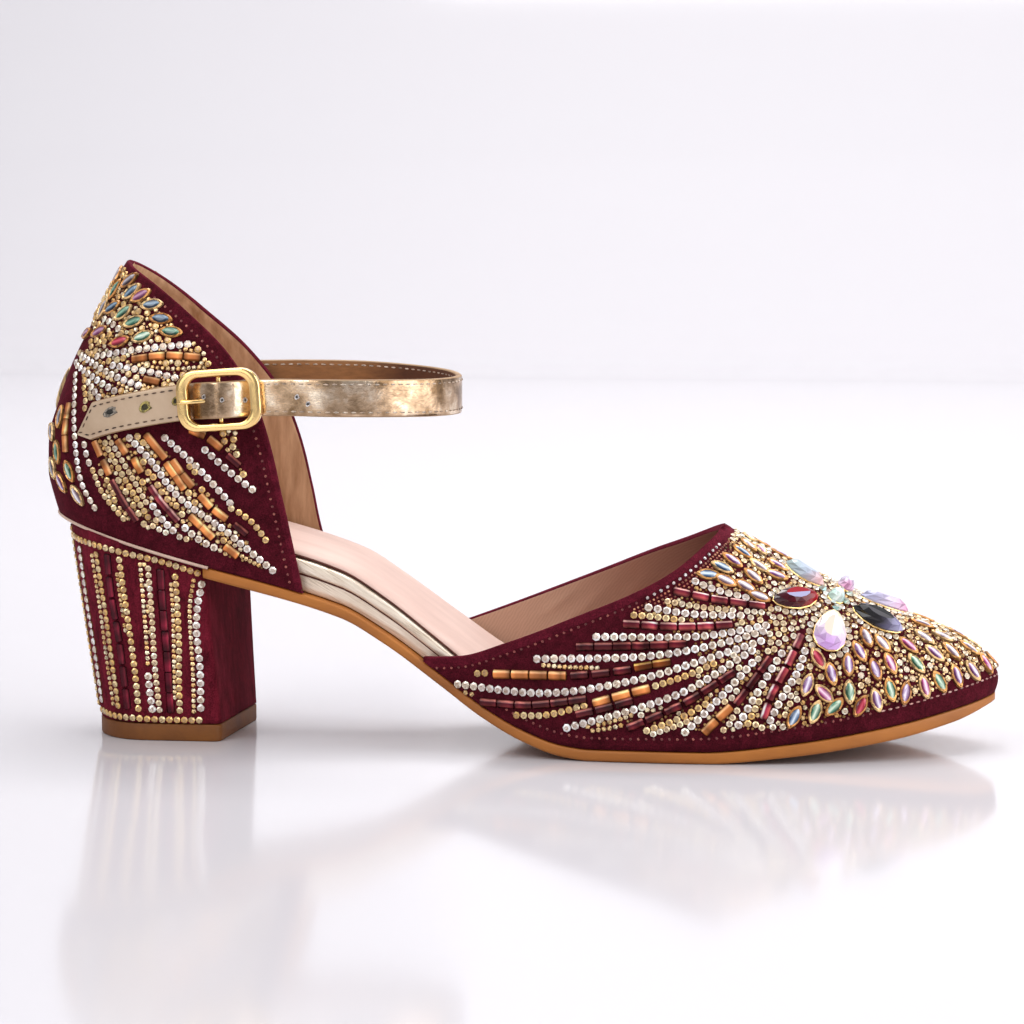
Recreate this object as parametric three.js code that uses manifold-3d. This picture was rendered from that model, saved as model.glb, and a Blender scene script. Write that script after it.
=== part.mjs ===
// Embellished block-heel shoe for the right foot: a velvet vamp and counter on a gold-wrapped
// insole, with a block heel, a buckled ankle strap and a flower of large cut stones.
// Millimetres. X runs from heel to toe, Y to the medial side, Z up, and the floor is Z = 0.
import * as THREE from 'three';
import { mergeVertices } from 'three/addons/utils/BufferGeometryUtils.js';
import Module from 'manifold-3d';

const wasm = await Module();
wasm.setup();

// Driving dimensions
const TOE_X = 251.5;
const BALL_X = 170;
const THROAT_X = 181;
const THROAT_FOOT_X = 174;
const VAMP_REAR_X = 106;
const SEAT_REAR_X = 4.5;
const SEAT_CENTRE_X = 37.5;
const SEAT_HALF = 25.5;
const WALL = 1.8;
const FIT = 0.3;
const SOLE_THICKNESS = 3;
const SOLE_ROUND = { height: 0.8, share: 0.97 };
const SOLE_REAR_X = 49.4;
const SOLE_SKEW_REACH = 25;
const LIFT_HEIGHT = 4.5;
const STRAP_WIDTH = { sewn: 10.4, free: 9.2 };
const STRAP_THICKNESS = 1.6;
const TOE_FULLNESS = 0.56;
const TOE_POWER = { lateral: 2, medial: 2.2 };
const SIDE_FULLNESS = 0.88;
const NOSE_X = 215;
const NOSE_BULGE = { reach: 9, power: 12 };
const INSOLE_INSET = WALL + FIT + 0.4;
const SOCK_INSET = INSOLE_INSET + 1.4;
const SOCK_EDGE = 1.2;

// Height of the feather line, where the upper meets the sole: straight over the heel seat,
// down the shank, flat under the ball and up again to the toe
const FEATHER = [
  { x: 0, z: 59.7 },
  { x: 42, z: 48.3 },
  { x: 84, z: 36.8 },
  { x: 95, z: 30.6 },
  { x: 110, z: 20.4 },
  { x: 121, z: 12.9 },
  { x: 132, z: 7.2 },
  { x: 143, z: 3.7 },
  { x: 150, z: SOLE_THICKNESS },
  { x: 178, z: SOLE_THICKNESS },
  { x: 200, z: 5.0 },
  { x: 227, z: 9.1 },
  { x: 243, z: 12.5 },
  { x: TOE_X, z: 14.4 },
];

// Thickness of the outsole, which thins out under the tip of the toe
const SOLE = [
  { x: 178, thickness: SOLE_THICKNESS },
  { x: 226, thickness: 3.6 },
  { x: 241, thickness: 3.3 },
  { x: TOE_X, thickness: 1.8 },
];

// Half widths of the last at the feather line, from the heel seat to the ball
const PLAN = [
  { x: SEAT_CENTRE_X, lateral: SEAT_HALF, medial: SEAT_HALF },
  { x: 60, lateral: 26.2, medial: 25 },
  { x: 80, lateral: 25.8, medial: 22.8 },
  { x: 95, lateral: 26, medial: 21.5 },
  { x: 110, lateral: 28.4, medial: 22.6 },
  { x: 125, lateral: 32.4, medial: 26.4 },
  { x: 140, lateral: 36, medial: 31.4 },
  { x: 155, lateral: 38, medial: 35.6 },
  { x: BALL_X, lateral: 38.5, medial: 37.5 },
];

// Height of the vamp's ridge above the feather line, before the nose rounds it off
const RIDGE = [
  { x: 100, rise: 92 },
  { x: 130, rise: 82 },
  { x: 150, rise: 71 },
  { x: 170, rise: 60 },
  { x: 182, rise: 52.6 },
  { x: 200, rise: 41.4 },
  { x: 211, rise: 34.8 },
  { x: 221, rise: 29.2 },
  { x: 232, rise: 25.4 },
  { x: TOE_X, rise: 22 },
];

// Height of the vamp's topline on either side, from the rear tip to the throat
const TOPLINE = [
  { x: VAMP_REAR_X, lateral: 24.2, medial: 26.4 },
  { x: 115, lateral: 24.8, medial: 29.6 },
  { x: 127, lateral: 28.6, medial: 34 },
  { x: 147, lateral: 36.6, medial: 41.8 },
  { x: 160, lateral: 42, medial: 47.2 },
  { x: 170, lateral: 47.4, medial: 51.2 },
];

// The counter: its back line, half width and the depth of its rounded back at each height
const COUNTER = [
  { z: 38, back: 12, half: 26.6, depth: 33 },
  { z: 55, back: 5.4, half: 26.2, depth: 33 },
  { z: 62, back: 3, half: 26.7, depth: 33 },
  { z: 70, back: 1.3, half: 27.2, depth: 32.5 },
  { z: 78, back: 1.5, half: 27.1, depth: 31.5 },
  { z: 88, back: 4.3, half: 26.6, depth: 30.5 },
  { z: 98, back: 8, half: 23.6, depth: 27.5 },
  { z: 108, back: 13, half: 20, depth: 24 },
  { z: 117, back: 17.8, half: 16.2, depth: 20 },
  { z: 125, back: 22.8, half: 12.5, depth: 16 },
];
const COUNTER_TAPER = { lateral: 0.01, medial: 0.09 };

// The front edge of either quarter and the collar seen from the side, from the sole to the back
const COLLAR = [
  { z: 41, lateral: 74, medial: 73 },
  { z: 53, lateral: 71.2, medial: 69.8 },
  { z: 64, lateral: 68.9, medial: 67.4 },
  { z: 78, lateral: 65.8, medial: 63.8 },
  { z: 90.5, lateral: 61.4, medial: 58.4 },
  { z: 101.5, lateral: 54.2, medial: 50.2 },
  { z: 111, lateral: 44, medial: 40 },
  { z: 119.3, lateral: 33, medial: 30.4 },
  { z: 125, lateral: 22.8, medial: 22.8 },
];

// Thickness of the insole board along the foot
const INSOLE = [
  { x: 0, height: 7.5 },
  { x: 45, height: 8.4 },
  { x: 75, height: 8.4 },
  { x: 105, height: 7.2 },
  { x: 125, height: 6 },
  { x: 150, height: 4 },
  { x: TOE_X, height: 3.2 },
];
const INSOLE_STEP = { height: 0.56, width: 0.97 };

// Crown of the sock from its edge to its middle, as shares of its half width and of its rise
const SOCK_CROWN = 2.6;
const SOCK_PROFILE = [
  { share: 1, rise: 0 },
  { share: 0.8, rise: 0.6 },
  { share: 0.4, rise: 1 },
];

// The heel block from the top lift to the heel seat
const HEEL = [
  { v: 0, back: 15, front: 51.9, half: 19.6, depth: 16 },
  { v: 0.5, back: 11.2, front: 50.3, half: 21.6, depth: 18 },
  { v: 1, back: 7.4, front: 48.8, half: 24.4, depth: 21 },
];
const HEEL_CORNER = 2;
const BREAST_SKEW = 0.055;

// Middle of the ankle strap, from its sewn end on the medial quarter, round the ankle,
// through the buckle and on to its free end over the lateral quarter
const STRAP = [
  [36, 27.8, 92],
  [50, 26.9, 92.2],
  [64, 28.2, 92.4],
  [80, 29.6, 92.2],
  [95, 24.6, 91.6],
  [106.5, 13, 91],
  [111, 0, 90.4],
  [107, -13.6, 90.4],
  [96, -24.6, 90.8],
  [82, -29.4, 91],
  [72, -29.2, 91.1],
  [66.5, -28.9, 91],
  [62, -29, 90.9],
  [57.4, -32.3, 90.7],
  [53.9, -33.6, 90.5],
  [50.4, -32.3, 90.3],
  [46, -29, 89.8],
  [42.5, -28.9, 89.4],
  [34, -28.9, 88],
  [24, -27.2, 85.8],
  [14.6, -23.3, 82.8],
];
const STRAP_TIP = { upper: 6.8, lower: 3.4, point: -0.46, blunt: 0.08 };

// The buckle, seen from outside, with its back plane at its place
const BUCKLE_PLACE = [53.9, -30.3, 90.5];
const BUCKLE_TILT = THREE.MathUtils.degToRad(4);
const BUCKLE = { width: 22, height: 15.9, round: 5.1, side: 3, bar: 2, hole: 3.2, depth: 2.6, bevel: 0.5 };
const BAR = { radius: 0.6, level: 0.5 };
const TAB = { width: 8, reach: 18, low: -3.35, high: -2.6, eye: 1.6, bore: 0.9 };
const TAB_BEND = { under: -3.2, over: -3.8, inside: -1, outside: 0.2, dip: 0.7, wrap: 1.25 };
const TAB_SLOT = { length: 5, width: 1.9, height: 4, shift: 0.2 };
const PRONG = { radius: 0.55, clear: 0.95, eye: 1.5, width: 1.3 };
const PRONG_PATH = [[-1.1, 0, 1], [-5, 0, 4.6], [-10.7, 0, 3.5]];

// The flower's large stones over the ridge: middle, size and turn from the toe to the medial side
const STONES = [
  { x: 200.5, y: -20.5, length: 13.4, width: 6.6, turn: 26, kind: 'navette', colour: 0x5a1020 },
  { x: 202.1, y: -9.1, length: 12, width: 6.2, turn: -24, kind: 'navette', colour: 0x9fb0c4 },
  { x: 212.4, y: -2.8, length: 9, width: 4.6, turn: -84, kind: 'navette', colour: 0xb9a6cf },
  { x: 222.4, y: -2.4, length: 14, width: 5.8, turn: 19, kind: 'navette', colour: 0xc3b2d8 },
  { x: 221.2, y: -14.2, length: 14.4, width: 7.4, turn: -15, kind: 'navette', colour: 0x15131a },
  { x: 209.7, y: -23.7, length: 13, width: 8.4, turn: 83, kind: 'pear', colour: 0xd9dde4 },
];
const STONE_CENTRE = {
  x: 210.5, y: -13.5, length: 4.4, width: 4.4, turn: 0, kind: 'round', colour: 0xe8e2ee,
};
const STONE_HEIGHT = 3;
const STONE_LIFT = 0.25;
const STONE_PROFILE = [
  { share: 1, level: 0 },
  { share: 1, level: 0.35 },
  { share: 0.82, level: 0.75 },
  { share: 0.55, level: 1 },
];
const NAVETTE_PINCH = 0.35;
const PEAR_TAPER = 0.3;
const STONE_SIDES = 16;

// Steps of the faceted surfaces
const VAMP_REAR_STEPS = 17;
const VAMP_FRONT_STEPS = 15;
const VAMP_ROWS = 9;
const COUNTER_SPOKES = 22;
const COUNTER_ROWS = 10;
const SOLE_STEPS = 44;
const STRAP_STEPS = 96;
const HEEL_STEPS = 6;
const ARC_STEPS = { heel: 8, buckle: 6, eye: 9, prong: 5, bar: 10 };
const PRONG_STEPS = 8;
const BEVEL_STEPS = 2;
const EVEN_SAMPLES = 400;
const SEAT_PASSES = 12;
const TIP_STEP = 0.05;
const TURN_STEP = 0.01;
const WELD_GAP = 1e-4;

const SIDES = ['lateral', 'medial'];
const signOf = (side) => (side === 'lateral' ? -1 : 1);
const mix = THREE.MathUtils.lerp;

// Smooth curve through a table that never overshoots its rows
function curve(rows, key, column) {
  const slopes = rows.slice(1).map((row, i) => {
    return (row[column] - rows[i][column]) / (row[key] - rows[i][key]);
  });
  const tangents = rows.map((row, i) => {
    const before = slopes[Math.max(i - 1, 0)];
    const after = slopes[Math.min(i, slopes.length - 1)];
    return before * after <= 0 ? 0 : (2 * before * after) / (before + after);
  });
  return (at) => {
    const last = rows.length - 2;
    const found = rows.findIndex((row, i) => i > 0 && at <= row[key]);
    const i = found < 0 ? last : found - 1;
    const span = rows[i + 1][key] - rows[i][key];
    const t = THREE.MathUtils.clamp((at - rows[i][key]) / span, 0, 1);
    const rise = t * t * (3 - 2 * t);
    const lead = t * (1 - t) * (1 - t) * span * tangents[i];
    const trail = t * t * (t - 1) * span * tangents[i + 1];
    return mix(rows[i][column], rows[i + 1][column], rise) + lead + trail;
  };
}

const featherHeight = curve(FEATHER, 'x', 'z');
const soleThickness = curve(SOLE, 'x', 'thickness');
const ridgeRise = curve(RIDGE, 'x', 'rise');
const insoleHeight = curve(INSOLE, 'x', 'height');
const planHalf = { lateral: curve(PLAN, 'x', 'lateral'), medial: curve(PLAN, 'x', 'medial') };
const counterBack = curve(COUNTER, 'z', 'back');
const counterHalf = curve(COUNTER, 'z', 'half');
const counterDepth = curve(COUNTER, 'z', 'depth');

// Half width of the last at x, drawn in by an inset all round
function halfWidth(x, side, inset) {
  if (x < SEAT_CENTRE_X) {
    const reach = SEAT_CENTRE_X - SEAT_REAR_X - inset;
    const t = Math.min((SEAT_CENTRE_X - x) / reach, 1);
    return (SEAT_HALF - inset) * Math.sqrt(1 - t * t);
  }
  if (x < BALL_X) return planHalf[side](x) - inset;
  const t = Math.min((x - BALL_X) / (TOE_X - inset - BALL_X), 1);
  return (planHalf[side](BALL_X) - inset) * (1 - t ** TOE_POWER[side]) ** TOE_FULLNESS;
}

// Share of the way from the start of the nose to the tip of the toe
const noseShare = (x) => THREE.MathUtils.clamp((x - NOSE_X) / (TOE_X - NOSE_X), 0, 1);

function vampRise(x) {
  return ridgeRise(x) * Math.sqrt(1 - noseShare(x) ** 2);
}

// Point of the vamp's outside: angle 0 at the feather line and a quarter turn at the ridge,
// with the nose swelling forward above the sole
function vampPoint(x, angle, side) {
  const across = Math.max(Math.cos(angle), 0) ** SIDE_FULLNESS;
  const y = signOf(side) * halfWidth(x, side, 0) * across;
  const nose = noseShare(x);
  const swell = NOSE_BULGE.reach * Math.sqrt(1 - nose * nose) * nose ** NOSE_BULGE.power;
  const lift = Math.sin(angle);
  return new THREE.Vector3(x + swell * lift, y, featherHeight(x) + FIT + vampRise(x) * lift);
}

function vampNormal(x, angle, side) {
  if (x > TOE_X - TIP_STEP) return new THREE.Vector3(1, 0, 0);
  const step = TIP_STEP / 2;
  const high = Math.min(angle, Math.PI / 2 - step);
  const along = vampPoint(x + step, high, side).sub(vampPoint(x - step, high, side));
  const up = vampPoint(x, high + step, side).sub(vampPoint(x, Math.max(high - step, 0), side));
  const normal = up.cross(along).multiplyScalar(signOf(side));
  if (high < angle) normal.y = 0;
  return normal.normalize();
}

// The topline rises along its table and closes over the ridge at the throat
const toplineRows = [...TOPLINE, {
  x: THROAT_X,
  lateral: featherHeight(THROAT_X) + FIT + vampRise(THROAT_X),
  medial: featherHeight(THROAT_X) + FIT + vampRise(THROAT_X),
}];
const topline = { lateral: curve(toplineRows, 'x', 'lateral'), medial: curve(toplineRows, 'x', 'medial') };

function toplineAngle(x, side) {
  if (x >= THROAT_X) return Math.PI / 2;
  const share = (topline[side](x) - featherHeight(x) - FIT) / vampRise(x);
  return Math.asin(THREE.MathUtils.clamp(share, 0, 1));
}

// Point of the counter's outside: turn 0 at the middle of the back, 1 where the sides run straight
function counterPoint(turn, z, side) {
  const angle = Math.min(turn, 1) * Math.PI / 2;
  const straight = Math.max(turn - 1, 0) * Math.PI / 2 * counterDepth(z);
  const x = counterBack(z) + counterDepth(z) * (1 - Math.cos(angle)) + straight;
  const half = counterHalf(z) * Math.sin(angle) - COUNTER_TAPER[side] * straight;
  return new THREE.Vector3(x, signOf(side) * half, z);
}

function counterTurn(x, z) {
  const reach = (x - counterBack(z)) / counterDepth(z);
  if (reach > 1) return 1 + (reach - 1) / (Math.PI / 2);
  return Math.acos(1 - Math.max(reach, 0)) / (Math.PI / 2);
}

function counterNormal(turn, z, side) {
  const low = Math.max(turn - TURN_STEP, 0);
  const along = counterPoint(turn + TURN_STEP, z, side).sub(counterPoint(low, z, side));
  const up = counterPoint(turn, z + TURN_STEP, side).sub(counterPoint(turn, z - TURN_STEP, side));
  const normal = up.cross(along).multiplyScalar(signOf(side));
  if (turn === 0) normal.y = 0;
  return normal.normalize();
}

// Triangles gathered as closed quads and fans, then welded into one body
function weld(corners) {
  const open = new THREE.BufferGeometry().setFromPoints(corners);
  const merged = mergeVertices(open, WELD_GAP);
  const old = merged.getIndex().array;
  const kept = [];
  for (let i = 0; i < old.length; i += 3) {
    const [a, b, c] = old.subarray(i, i + 3);
    if (a !== b && b !== c && c !== a) kept.push(a, b, c);
  }
  merged.setIndex(kept);
  merged.computeVertexNormals();
  return merged;
}

function quad(corners, a, b, c, d) {
  corners.push(a, b, c, a, c, d);
}

// A hollow wall between an outer and an inner grid: rows run up from the feather line
function wallPatch(corners, outer, inner, flip, rimSteps) {
  const face = (a, b, c, d) => (flip ? quad(corners, d, c, b, a) : quad(corners, a, b, c, d));
  const top = outer[0].length - 1;
  for (let i = 0; i + 1 < outer.length; i += 1) {
    for (let j = 0; j < top; j += 1) {
      face(outer[i][j], outer[i + 1][j], outer[i + 1][j + 1], outer[i][j + 1]);
      face(inner[i][j + 1], inner[i + 1][j + 1], inner[i + 1][j], inner[i][j]);
    }
    face(inner[i][0], inner[i + 1][0], outer[i + 1][0], outer[i][0]);
    if (i < rimSteps) face(outer[i][top], outer[i + 1][top], inner[i + 1][top], inner[i][top]);
  }
  for (let j = 0; j < top; j += 1) face(inner[0][j], outer[0][j], outer[0][j + 1], inner[0][j + 1]);
}

// Parameters from 0 to 1 that place points evenly along a path
function evenly(path, count) {
  const lengths = [0];
  for (let i = 1; i <= EVEN_SAMPLES; i += 1) {
    const step = path(i / EVEN_SAMPLES).distanceTo(path((i - 1) / EVEN_SAMPLES));
    lengths.push(lengths[i - 1] + step);
  }
  return Array.from({ length: count + 1 }, (_, k) => {
    const want = (lengths[EVEN_SAMPLES] * k) / count;
    const i = Math.max(lengths.findIndex((length) => length >= want), 1);
    const part = (want - lengths[i - 1]) / (lengths[i] - lengths[i - 1]);
    return k === count ? 1 : (i - 1 + part) / EVEN_SAMPLES;
  });
}

// The vamp's spokes run from the feather line up to the topline and, past the throat, to the ridge
function vampSpokes(side) {
  const toThroat = (t) => THROAT_X - (THROAT_X - VAMP_REAR_X) * (1 - t) ** 2;
  const edge = (t) => vampPoint(toThroat(t), toplineAngle(toThroat(t), side), side);
  const spokes = evenly(edge, VAMP_REAR_STEPS).map((t, i) => ({
    low: mix(VAMP_REAR_X, THROAT_FOOT_X, i / VAMP_REAR_STEPS),
    high: toThroat(t),
    angle: toplineAngle(toThroat(t), side),
  }));
  for (let i = 1; i <= VAMP_FRONT_STEPS; i += 1) {
    const share = Math.sin((i / VAMP_FRONT_STEPS) * Math.PI / 2);
    const high = mix(THROAT_X, TOE_X, share);
    spokes.push({ low: mix(THROAT_FOOT_X, TOE_X, share), high, angle: Math.PI / 2 });
  }
  return spokes;
}

function vampGeometry() {
  const corners = [];
  const shares = Array.from({ length: VAMP_ROWS + 1 }, (_, j) => j / VAMP_ROWS);
  for (const side of SIDES) {
    const outer = [];
    const inner = [];
    for (const { low, high, angle } of vampSpokes(side)) {
      const spots = shares.map((share) => [mix(low, high, share), angle * share, side]);
      outer.push(spots.map((spot) => vampPoint(...spot)));
      inner.push(spots.map((spot) => vampPoint(...spot).addScaledVector(vampNormal(...spot), -WALL)));
    }
    wallPatch(corners, outer, inner, side === 'medial', VAMP_REAR_STEPS);
  }
  return weld(corners);
}

// The counter's spokes run from its lower edge up to the front edge and collar
function quarterGeometry() {
  const corners = [];
  for (const side of SIDES) {
    const place = ({ turn, z }) => counterPoint(turn, z, side);
    const collar = new THREE.CatmullRomCurve3(COLLAR.map((row) => new THREE.Vector3(row[side], 0, row.z)));
    const frontTurn = counterTurn(COLLAR[0][side], COLLAR[0].z);
    const edgeSpot = (t) => {
      const { x, z } = collar.getPoint(t);
      return { turn: t === 1 ? 0 : counterTurn(x, z), z };
    };
    const seatSpot = (t) => {
      const turn = frontTurn * (1 - t);
      let z = COLLAR[0].z;
      for (let i = 0; i < SEAT_PASSES; i += 1) z = featherHeight(counterPoint(turn, z, side).x) + FIT;
      return { turn, z };
    };
    const edgeSteps = evenly((t) => place(edgeSpot(t)), COUNTER_SPOKES);
    const seatSteps = evenly((t) => place(seatSpot(t)), COUNTER_SPOKES);
    const outer = [];
    const inner = [];
    for (let i = 0; i <= COUNTER_SPOKES; i += 1) {
      const low = seatSpot(seatSteps[i]);
      const high = edgeSpot(edgeSteps[i]);
      const spots = Array.from({ length: COUNTER_ROWS + 1 }, (_, j) => {
        const t = j / COUNTER_ROWS;
        return { turn: mix(low.turn, high.turn, t), z: mix(low.z, high.z, t) };
      });
      outer.push(spots.map(place));
      inner.push(spots.map((spot) => {
        const normal = counterNormal(spot.turn, spot.z, side);
        return place(spot).addScaledVector(normal, -WALL);
      }));
    }
    wallPatch(corners, outer, inner, side === 'lateral', COUNTER_SPOKES);
  }
  return weld(corners);
}

// A body lofted through rings of equal count, with flat ends where asked
function loft(rings, { start = false, end = false } = {}) {
  const corners = [];
  const count = rings[0].length;
  for (let i = 0; i + 1 < rings.length; i += 1) {
    for (let j = 0; j < count; j += 1) {
      const k = (j + 1) % count;
      quad(corners, rings[i][j], rings[i][k], rings[i + 1][k], rings[i + 1][j]);
    }
  }
  const cap = (ring, flip) => {
    const middle = ring.reduce((sum, point) => sum.add(point), new THREE.Vector3()).divideScalar(count);
    ring.forEach((point, j) => {
      const next = ring[(j + 1) % count];
      if (flip) corners.push(middle, next, point);
      else corners.push(middle, point, next);
    });
  };
  if (start) cap(rings[0], true);
  if (end) cap(rings[rings.length - 1], false);
  return weld(corners);
}

// Stations from one x to another, drawn together where an end is round
function footStations(from, to, roundStart) {
  return Array.from({ length: SOLE_STEPS + 1 }, (_, i) => {
    const t = i / SOLE_STEPS;
    const share = roundStart ? (1 - Math.cos(Math.PI * t)) / 2 : Math.sin((Math.PI / 2) * t);
    return mix(from, to, share);
  });
}

// A ring across the foot from a half outline: rows of share of the half width and height,
// given from the underside up and over to the middle
function footRing(x, inset, outline) {
  const point = (side) => ({ share, z }) => {
    return new THREE.Vector3(x, signOf(side) * halfWidth(x, side, inset) * share, z);
  };
  const lateral = outline.map(point('lateral'));
  const medial = outline.filter(({ share }) => share > 0).map(point('medial')).reverse();
  return [...lateral, ...medial].reverse();
}

// The outsole's rear edge lies along the skewed heel breast
function outsoleGeometry() {
  const rings = footStations(SOLE_REAR_X, TOE_X, false).map((x) => {
    const top = featherHeight(x);
    const low = top - soleThickness(x);
    const ring = footRing(x, 0, [
      { share: SOLE_ROUND.share, z: low },
      { share: 1, z: low + SOLE_ROUND.height },
      { share: 1, z: top },
    ]);
    const fade = Math.max(1 - (x - SOLE_REAR_X) / SOLE_SKEW_REACH, 0);
    return ring.map((point) => {
      const moved = x + BREAST_SKEW * point.y * fade;
      return new THREE.Vector3(moved, point.y, point.z + featherHeight(moved) - top);
    });
  });
  return loft(rings, { start: true });
}

function insoleGeometry() {
  const rear = SEAT_REAR_X + INSOLE_INSET;
  const rings = footStations(rear, TOE_X - INSOLE_INSET, true).map((x) => {
    const low = featherHeight(x) + FIT;
    const height = insoleHeight(x) - FIT;
    const step = low + height * INSOLE_STEP.height;
    return footRing(x, INSOLE_INSET, [
      { share: INSOLE_STEP.width, z: low },
      { share: INSOLE_STEP.width, z: step },
      { share: 1, z: step },
      { share: 1, z: low + height },
    ]);
  });
  return loft(rings);
}

function sockGeometry() {
  const rear = SEAT_REAR_X + SOCK_INSET;
  const rings = footStations(rear, TOE_X - SOCK_INSET, true).map((x) => {
    const low = featherHeight(x) + insoleHeight(x) + FIT;
    const crown = SOCK_CROWN * Math.min(halfWidth(x, 'lateral', SOCK_INSET) / SEAT_HALF, 1);
    const over = SOCK_PROFILE.map(({ share, rise }) => ({ share, z: low + SOCK_EDGE + crown * rise }));
    return footRing(x, SOCK_INSET, [{ share: 1, z: low }, ...over]);
  });
  return loft(rings);
}

// Plan of the heel: a flat breast with rounded corners, straight sides and a round back
function heelOutline({ back, front, half, depth }) {
  const shape = new THREE.Shape();
  const corner = HEEL_CORNER;
  shape.moveTo(front, half - corner);
  shape.absarc(front - corner, half - corner, corner, 0, Math.PI / 2, false);
  shape.absellipse(back + depth, 0, depth, half, Math.PI / 2, Math.PI * 1.5, false, 0);
  shape.absarc(front - corner, corner - half, corner, -Math.PI / 2, 0, false);
  const points = shape.getPoints(ARC_STEPS.heel);
  const kept = points.filter((point, i) => i === 0 || point.distanceTo(points[i - 1]) > WELD_GAP);
  return kept.map(({ x, y }) => new THREE.Vector2(x + (BREAST_SKEW * y * (x - back)) / (front - back), y));
}

function heelGeometry() {
  const floor = LIFT_HEIGHT + FIT;
  const level = (column) => curve(HEEL, 'v', column);
  const [back, front, half, depth] = ['back', 'front', 'half', 'depth'].map(level);
  const rings = Array.from({ length: HEEL_STEPS + 1 }, (_, i) => {
    const v = i / HEEL_STEPS;
    const plan = heelOutline({ back: back(v), front: front(v), half: half(v), depth: depth(v) });
    return plan.map(({ x, y }) => new THREE.Vector3(x, y, mix(floor, featherHeight(x), v)));
  });
  return loft(rings, { start: true, end: true });
}

function liftGeometry() {
  const plan = heelOutline(HEEL[0]);
  const rings = [0, LIFT_HEIGHT].map((z) => plan.map(({ x, y }) => new THREE.Vector3(x, y, z)));
  return loft(rings, { start: true, end: true });
}

// Solids for cutting and joining
function solid(geometry) {
  const bare = geometry.clone();
  bare.deleteAttribute('normal');
  bare.deleteAttribute('uv');
  const merged = mergeVertices(bare, WELD_GAP);
  return new wasm.Manifold(new wasm.Mesh({
    numProp: 3,
    vertProperties: new Float32Array(merged.getAttribute('position').array),
    triVerts: new Uint32Array(merged.getIndex().array),
  }));
}

function geometryOf(body) {
  const { numProp, vertProperties, triVerts } = body.getMesh();
  const places = new Float32Array((vertProperties.length / numProp) * 3);
  for (let i = 0; i < places.length / 3; i += 1) {
    places.set(vertProperties.subarray(i * numProp, i * numProp + 3), i * 3);
  }
  const geometry = new THREE.BufferGeometry();
  geometry.setAttribute('position', new THREE.BufferAttribute(places, 3));
  geometry.setIndex(Array.from(triVerts));
  geometry.computeVertexNormals();
  return geometry;
}

// The buckle's own frame: x along the strap, y up, z away from the shoe
const buckleMatrix = new THREE.Matrix4().compose(
  new THREE.Vector3(...BUCKLE_PLACE),
  new THREE.Quaternion().setFromEuler(new THREE.Euler(Math.PI / 2, 0, BUCKLE_TILT)),
  new THREE.Vector3(1, 1, 1),
);

function prongTube(radius) {
  const ends = PRONG_PATH.map((point) => new THREE.Vector3(...point));
  const path = new THREE.QuadraticBezierCurve3(...ends);
  const section = new THREE.Shape().absarc(0, 0, radius, 0, Math.PI * 2, false);
  const sweep = { steps: PRONG_STEPS, curveSegments: ARC_STEPS.prong, extrudePath: path };
  return new THREE.ExtrudeGeometry(section, sweep);
}

function strapGeometry() {
  const path = new THREE.CatmullRomCurve3(STRAP.map((point) => new THREE.Vector3(...point)));
  const length = path.getLength();
  const up = new THREE.Vector3(0, 0, 1);
  const rings = Array.from({ length: STRAP_STEPS + 1 }, (_, i) => {
    const t = i / STRAP_STEPS;
    const middle = path.getPointAt(t);
    const along = path.getTangentAt(t);
    const wide = up.clone().addScaledVector(along, -along.z).normalize();
    const thick = along.clone().cross(wide);
    const half = mix(STRAP_WIDTH.sewn, STRAP_WIDTH.free, t) / 2;
    const left = length * (1 - t);
    const upper = mix(STRAP_TIP.point + STRAP_TIP.blunt, 1, Math.min(left / STRAP_TIP.upper, 1));
    const lower = mix(STRAP_TIP.point - STRAP_TIP.blunt, -1, Math.min(left / STRAP_TIP.lower, 1));
    const depth = STRAP_THICKNESS / 2;
    const corner = (edge, h) => {
      return middle.clone().addScaledVector(wide, edge * half).addScaledVector(thick, h * depth);
    };
    return [corner(lower, -1), corner(upper, -1), corner(upper, 1), corner(lower, 1)];
  });
  const band = solid(loft(rings, { start: true, end: true }));
  const hole = solid(prongTube(PRONG.clear).applyMatrix4(buckleMatrix));
  return geometryOf(band.subtract(hole));
}

function roundedRectangle(target, width, height, round) {
  const [w, h] = [width / 2, height / 2];
  target.moveTo(w, round - h);
  target.lineTo(w, h - round);
  target.absarc(w - round, h - round, round, 0, Math.PI / 2, false);
  target.absarc(round - w, h - round, round, Math.PI / 2, Math.PI, false);
  target.absarc(round - w, round - h, round, Math.PI, Math.PI * 1.5, false);
  target.absarc(w - round, round - h, round, Math.PI * 1.5, Math.PI * 2, false);
  return target;
}

function buckleFrameGeometry() {
  const { width, height, round, side, bar, hole, depth, bevel } = BUCKLE;
  const outside = [width - 2 * bevel, height - 2 * bevel];
  const inside = [width - 2 * side + 2 * bevel, height - 2 * bar + 2 * bevel];
  const outline = roundedRectangle(new THREE.Shape(), ...outside, round - bevel);
  outline.holes.push(roundedRectangle(new THREE.Path(), ...inside, hole + bevel));
  const ring = new THREE.ExtrudeGeometry(outline, {
    depth: depth - 2 * bevel,
    bevelThickness: bevel,
    bevelSize: bevel,
    bevelSegments: BEVEL_STEPS,
    curveSegments: ARC_STEPS.buckle,
  }).translate(0, 0, bevel);
  const centreBar = new THREE.CylinderGeometry(BAR.radius, BAR.radius, height - bar, ARC_STEPS.bar);
  centreBar.translate(0, 0, BAR.level);
  return geometryOf(solid(ring).add(solid(centreBar)));
}

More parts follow.
